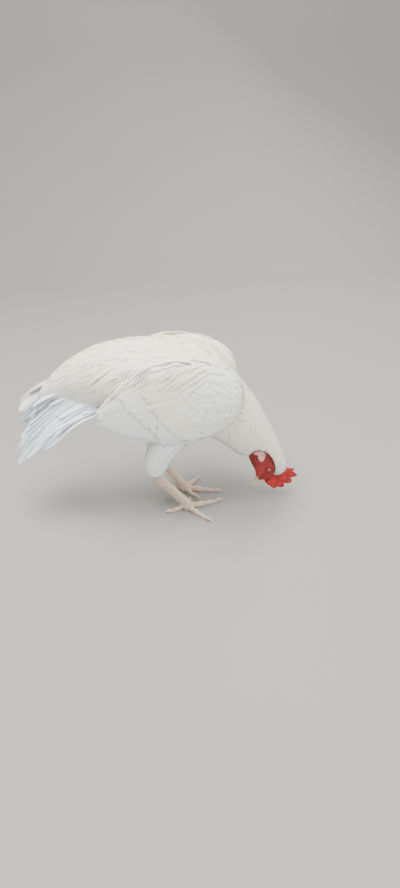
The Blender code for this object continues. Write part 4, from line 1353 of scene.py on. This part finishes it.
want = 1 + under_coat(skin_points[edge_of_face]) * 300
cuff_roots = skin_points[dice.choice(edge_of_face, CUFF, replace=False, p=want / want.sum())]
sunk = under_coat(cuff_roots)
length = CUFF_LENGTH * dice.normal(1, 0.2, CUFF).clip(0.6, 1.5) + sunk * 1.2
lines, normals = paths_along_coat(cuff_roots, length, sunk, dice.random(CUFF) * 0.0006 + 0.0002, jitter=0.2)
lines[:, 0] = cuff_roots
half = CUFF_HALF * dice.normal(1, 0.15, CUFF).clip(0.6, 1.4) * (1 + sunk * 60)
shade = dice.normal(0.96, 0.03, CUFF).clip(0.85, 1.0)
cream = dice.normal(0.15, 0.1, CUFF)
piece = vanes("feathers_face_cuff", lines, normals, half, np.full(CUFF, 0.6), cream, shade)
finish_feathers(piece)

# ---------------------------------------------------------------------------------------------
# THE SADDLE HACKLES
# Long pointed feathers that hang from the back over the rear of the folded wings, and hide where the wing
# meets the body.
# ---------------------------------------------------------------------------------------------
HACKLE_LINE = [  # where they start, from front to rear, as x, distance from the midline and z
    (0.090, 0.064, 0.317),
    (0.030, 0.066, 0.325),
    (-0.025, 0.061, 0.315),
    (-0.068, 0.055, 0.294),
    (-0.100, 0.047, 0.262),
]
HACKLES, HACKLE_SPREAD, HACKLE_HALF = 320, 0.008, 0.0034
HACKLE_LENGTHS, HACKLE_LIFTS, HACKLE_SUNK = (0.056, 0.100), (0.0022, 0.0046), 0.0015
for side, way in SIDES:
    share = dice.random(HACKLES)
    start = np.array([curve_at(HACKLE_LINE, at) for at in share]) * (1, way, 1)
    start = on_guide(start + dice.normal(0, HACKLE_SPREAD, start.shape))[0]
    length = dice.uniform(*HACKLE_LENGTHS, HACKLES) * (0.72 + 0.28 * np.sin(share * math.pi))
    slope = np.stack([np.full(HACKLES, -0.82), np.full(HACKLES, way * 0.06), -0.52 - share * 0.10], axis=1)
    aims = start + unit(slope) * (length * 1.3)[:, None]
    lift = dice.uniform(*HACKLE_LIFTS, HACKLES)
    lines, normals = paths_along_coat(start, length, HACKLE_SUNK, lift, aims, jitter=0.05, grip=0.006)
    cream = 0.60 - share * 0.30 + dice.normal(0, 0.15, HACKLES)
    shade = dice.normal(0.975, 0.02, HACKLES).clip(0.90, 1.0)
    half = HACKLE_HALF * dice.normal(1, 0.12, HACKLES).clip(0.7, 1.3)
    piece = vanes(f"saddle_hackles_{side}", lines, normals, half, np.full(HACKLES, 0.95), cream, shade)
    finish_feathers(piece)

# ---------------------------------------------------------------------------------------------
# THE FLIGHT FEATHERS OF THE WINGS
# The folded wing shows two rows of coverts, then the broad secondaries in a fan, whose tips make the
# wing's rear and lower edge, with the tips of the stiff primaries under them. Soft down fills the
# hollow between the rear of each wing and the body.
# ---------------------------------------------------------------------------------------------
# Each row: x and z of its lowest and its highest root, and of its lowest and its highest tip; then how
# many, their half width, how far the roots lie under and the tips stand over the coat, and their cream.
WING_ROWS = {
    "primaries": (
        ((0.048, 0.182), (0.000, 0.202), (-0.090, 0.176), (-0.124, 0.208)),
        (8, 0.0085, 0.0030, 0.0002, -0.55),
    ),
    "secondaries": (
        ((0.050, 0.200), (-0.020, 0.290), (-0.066, 0.197), (-0.116, 0.250)),
        (14, 0.0125, 0.0030, 0.0014, -0.20),
    ),
    "long_coverts": (
        ((0.080, 0.195), (0.012, 0.300), (0.006, 0.192), (-0.070, 0.275)),
        (16, 0.0115, 0.0035, 0.0018, 0.10),
    ),
    "middle_coverts": (
        ((0.104, 0.192), (0.045, 0.305), (0.050, 0.187), (-0.025, 0.288)),
        (18, 0.0105, 0.0035, 0.0021, 0.30),
    ),
}
ROOT_OUT, TIP_OUT = 0.095, 0.088  # from the midline, before they are laid on the coat
TIP_BULGE = np.array((-0.010, -0.006))  # of the middle of a row
STACK = 0.0024  # over a row, since each feather lies over the one below it
STIFF = {"cup": 0.08, "thick": 0.0006, "ragged": 0.05}
for side, way in SIDES:
    rows = []
    for row, (corners, (count, half, depth, lift, cream)) in WING_ROWS.items():
        low_root, high_root, low_tip, high_tip = np.array(corners)
        share = (np.arange(count) + 0.5) / count
        share = share + dice.normal(0, 0.012, count)
        root_xz = low_root + (high_root - low_root) * share[:, None]
        bulge = np.sin(share * math.pi)[:, None] * TIP_BULGE * (row != "long_coverts")
        tip_xz = low_tip + (high_tip - low_tip) * share[:, None] + bulge
        start = np.insert(root_xz, 1, way * ROOT_OUT, axis=1)
        end = np.insert(tip_xz, 1, way * TIP_OUT, axis=1)
        start, end = on_guide(start)[0], on_guide(end)[0]
        length = np.linalg.norm(end - start, axis=1) * dice.normal(1.06, 0.035, count)
        aims = start + (end - start) * 1.6 + np.array((0, 0, -0.004))
        sunk, stack = depth - share * 0.001, lift + share * STACK
        laid, up = paths_along_coat(start, length, sunk, stack, aims, jitter=0.02)
        widths = half * dice.normal(1, 0.05, count)
        rows.append((laid, up, widths, cream + share * 0.25 + dice.normal(0, 0.06, count)))
    lines, normals, half, cream = (np.concatenate(values) for values in zip(*rows))
    shade = dice.normal(0.97, 0.02, len(lines)).clip(0.9, 1.0)
    point = np.full(len(lines), 0.08)
    piece = vanes(f"flight_feathers_{side}", lines, normals, half, point, cream, shade, **STIFF)
    finish_feathers(piece, ["wing_flight_" + side])

# The down lies in the hollow from its lower to its upper end, and from the body out to the wing.
DOWNS, DOWN_HALF = 90, 0.0055
for side, way in SIDES:
    up, out = dice.random(DOWNS), dice.random(DOWNS)
    root = np.stack([-0.035 - 0.025 * out, way * (0.044 + 0.016 * out), 0.212 + 0.055 * up], axis=1)
    tip = np.stack([-0.086 + 0.008 * out, way * (0.044 + 0.020 * out), 0.213 + 0.040 * up], axis=1)
    tip += dice.normal(0, 0.0015, tip.shape)
    lines = root[:, None] + (tip - root)[:, None] * np.array(VANE_STATIONS)[None, :, None]
    faces_up = unit(np.stack([np.zeros(DOWNS), way * (0.3 + out), 1.2 - out], axis=1))
    normals = np.repeat(faces_up[:, None], len(VANE_STATIONS), axis=1)
    half = DOWN_HALF * dice.normal(1, 0.15, DOWNS).clip(0.7, 1.4)
    shade = dice.normal(0.96, 0.02, DOWNS).clip(0.88, 1.0)
    cream = dice.normal(0.05, 0.1, DOWNS)
    label, point = f"wing_down_{side}", np.full(DOWNS, 0.2)
    piece = vanes(label, lines, normals, half, point, cream, shade, cup=0.2, ragged=0.2)
    finish_feathers(piece)

# ---------------------------------------------------------------------------------------------
# THE TAIL
# Two drooping halves, each of broad stiff tail feathers with long narrow sickle feathers over them
# that end in loose strands. Shorter coverts hide the roots where the tail leaves the rump, and broad
# ones hang between the halves.
# ---------------------------------------------------------------------------------------------
# Both from the top of the tail downwards, as x, distance from the midline and z.
TAIL_FOOT = [(-0.1135, 0.008, 0.286), (-0.1065, 0.025, 0.258), (-0.0935, 0.034, 0.222)]
TAIL_TIPS = {
    "left": [
        (-0.216, 0.020, 0.250),
        (-0.234, 0.030, 0.234),
        (-0.250, 0.040, 0.214),
        (-0.264, 0.018, 0.188),
        (-0.268, 0.024, 0.166),
        (-0.244, 0.036, 0.172),
        (-0.200, 0.044, 0.186),
    ],
    "right": [
        (-0.226, 0.012, 0.211),
        (-0.246, 0.014, 0.179),
        (-0.2595, 0.014, 0.146),
        (-0.264, 0.022, 0.110),
        (-0.236, 0.034, 0.134),
        (-0.206, 0.042, 0.154),
        (-0.176, 0.048, 0.179),
    ],
}
TAIL_BOW = np.array((-0.0192, 0.0192, 0.0448))  # four times what the middle of a feather bows out
TAIL_TOP = 0.35  # share of the fan whose feathers start deeper under the rump and bow less
TOP_SUNK = np.array((0.004, 0, -0.016))
COVERED_FROM = {"left": 0.36, "right": 0.16}  # share of the fan above which no coverts or strands grow
TAIL_CREAM, UPPER_LEFT_CREAM = -0.62, 0.92
TAIL_STACK = 0.0004  # over each kind, since each feather lies over the one above it
# Each kind: how many, their half width, the least and most of the way to the tips that they reach, how
# far they lie over the broad feathers, 1 for pointed or 0 for round tips, and how far the tips stray.
TAIL_KINDS = {
    "rectrices": (9, 0.0125, 0.93, 1.0, 0.000, 0.15, 0.002),
    "under": (12, 0.0090, 0.80, 1.0, -0.0025, 0.5, 0.003),
    "sickles": (26, 0.0056, 0.72, 1.0, 0.0022, 0.85, 0.004),
    "strands": (30, 0.0030, 0.80, 1.0, 0.0008, 1.0, 0.005),
    "coverts": (26, 0.0070, 0.34, 0.60, 0.0040, 0.6, 0.004),
}


def fan_at(side, way, share):
    """Foot, tip, bow and outward way of a tail feather at a share of a half's fan, from the top down."""
    mirror = np.array((1, way, 1))
    top = max(0.0, 1 - share / TAIL_TOP)
    foot, tip = curve_at(TAIL_FOOT, share) * mirror, curve_at(TAIL_TIPS[side], share) * mirror
    foot = foot + TOP_SUNK * top
    beside = np.zeros(3)  # the way the fan spreads here
    for stations in (TAIL_FOOT, TAIL_TIPS[side]):
        beside += (curve_at(stations, min(share + 0.02, 1)) - curve_at(stations, share - 0.02)) * mirror
    outward = np.cross(beside, tip - foot)
    outward = unit(outward * np.sign(outward[1] * way))
    flat = min(0.95, max(0.0, 1.2 - share / 0.4))  # the top ones face upwards, like a roof
    outward = unit(outward * (1 - flat) + unit(np.cross(tip - foot, (0, -1, 0))) * flat)
    return foot, tip, TAIL_BOW * mirror * (1 - 0.75 * top), outward


def tail_half(side, way, kinds):
    """Middle lines, faces, half widths, points and creams of some kinds of feathers in a half."""
    for kind in kinds:
        count, half, shortest, longest, layer, point, spread = TAIL_KINDS[kind]
        for k in range(count):
            share = np.clip((k + 0.5) / count + dice.normal(0, 0.25 / count), 0.02, 0.98)
            if kind in ("coverts", "strands") and share < COVERED_FROM[side]:
                continue
            foot, tip, bow, outward = fan_at(side, way, share)
            t = np.array(VANE_STATIONS)[:, None]
            at = t * dice.uniform(shortest, longest)
            stray = dice.normal(0, spread, 3).clip(-1.4 * spread, 1.4 * spread) * (1, 0.5, 1)
            line = foot * (1 - at) + tip * at + bow * at * (1 - at)
            line = line + stray * t**2 + outward * (layer + TAIL_STACK * k / count)
            half_here = half * dice.normal(1, 0.1) * (1 - 0.25 * (share < 0.3))
            cream = TAIL_CREAM + UPPER_LEFT_CREAM * (side == "left") * (share < 0.5) + dice.normal(0, 0.12)
            yield line, np.tile(outward, (len(t), 1)), half_here, point, cream


for side, way in SIDES:
    for label, kinds, nodes in (
        ("tail_feathers_", ("rectrices", "under", "strands"), ["tail_" + side]),
        ("tail_sickles_", ("sickles", "coverts"), []),
    ):
        lines, normals, half, point, cream = map(np.array, zip(*tail_half(side, way, kinds)))
        shade = dice.normal(0.96, 0.03, len(lines)).clip(0.85, 1.0)
        piece = vanes(label + side, lines, normals, half, point, cream, shade, ragged=0.16, thick=0.0006)
        finish_feathers(piece, nodes)

# The coverts between the halves hang from the end of the rump and face up and back.
MIDDLE_FEET = [(-0.150, 0.288), (-0.156, 0.268), (-0.152, 0.245)]  # as x and z
MIDDLE_TIPS = [(-0.212, 0.230), (-0.227, 0.196), (-0.242, 0.166), (-0.250, 0.138), (-0.234, 0.130)]
MIDDLES, MIDDLE_HALF, MIDDLE_WIDE = 54, 0.0080, 0.024
share, beside = dice.random(MIDDLES), dice.uniform(-1, 1, MIDDLES)
feet = np.array([curve_at(MIDDLE_FEET, at) for at in share])
tips = np.array([curve_at(MIDDLE_TIPS, at) for at in share]) + dice.normal(0, 0.003, (MIDDLES, 2))
lower = (beside**2)[:, None]  # the outer ones start deeper and bow less
lines = []
for t in VANE_STATIONS:
    middle = (feet - lower * (-0.004, 0.020)) * (1 - t) + tips * t
    middle = middle + np.array((-0.032, 0.045)) * t * (1 - t) * (1 - 0.7 * lower)
    outwards = beside * MIDDLE_WIDE * (0.60 + 0.10 * t)
    lines.append(np.stack([middle[:, 0], outwards, middle[:, 1]], axis=1))
lines = np.stack(lines, axis=1)
normals = unit(np.cross(np.gradient(lines, axis=1), (0, -1, 0)))
normals[..., 1] += beside[:, None] * 0.35  # the bunch is round like a roof
shade = dice.normal(0.965, 0.02, MIDDLES).clip(0.88, 1.0)
half = MIDDLE_HALF * dice.normal(1, 0.12, MIDDLES).clip(0.7, 1.3)
cream = -0.2 - share * 0.6 + dice.normal(0, 0.1, MIDDLES)
piece = vanes("tail_middle", lines, normals, half, np.full(MIDDLES, 0.6), cream, shade, ragged=0.12)
finish_feathers(piece)

corners = {"cad": [list(c) for c in cad_box], "visual": [list(c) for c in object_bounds()]}
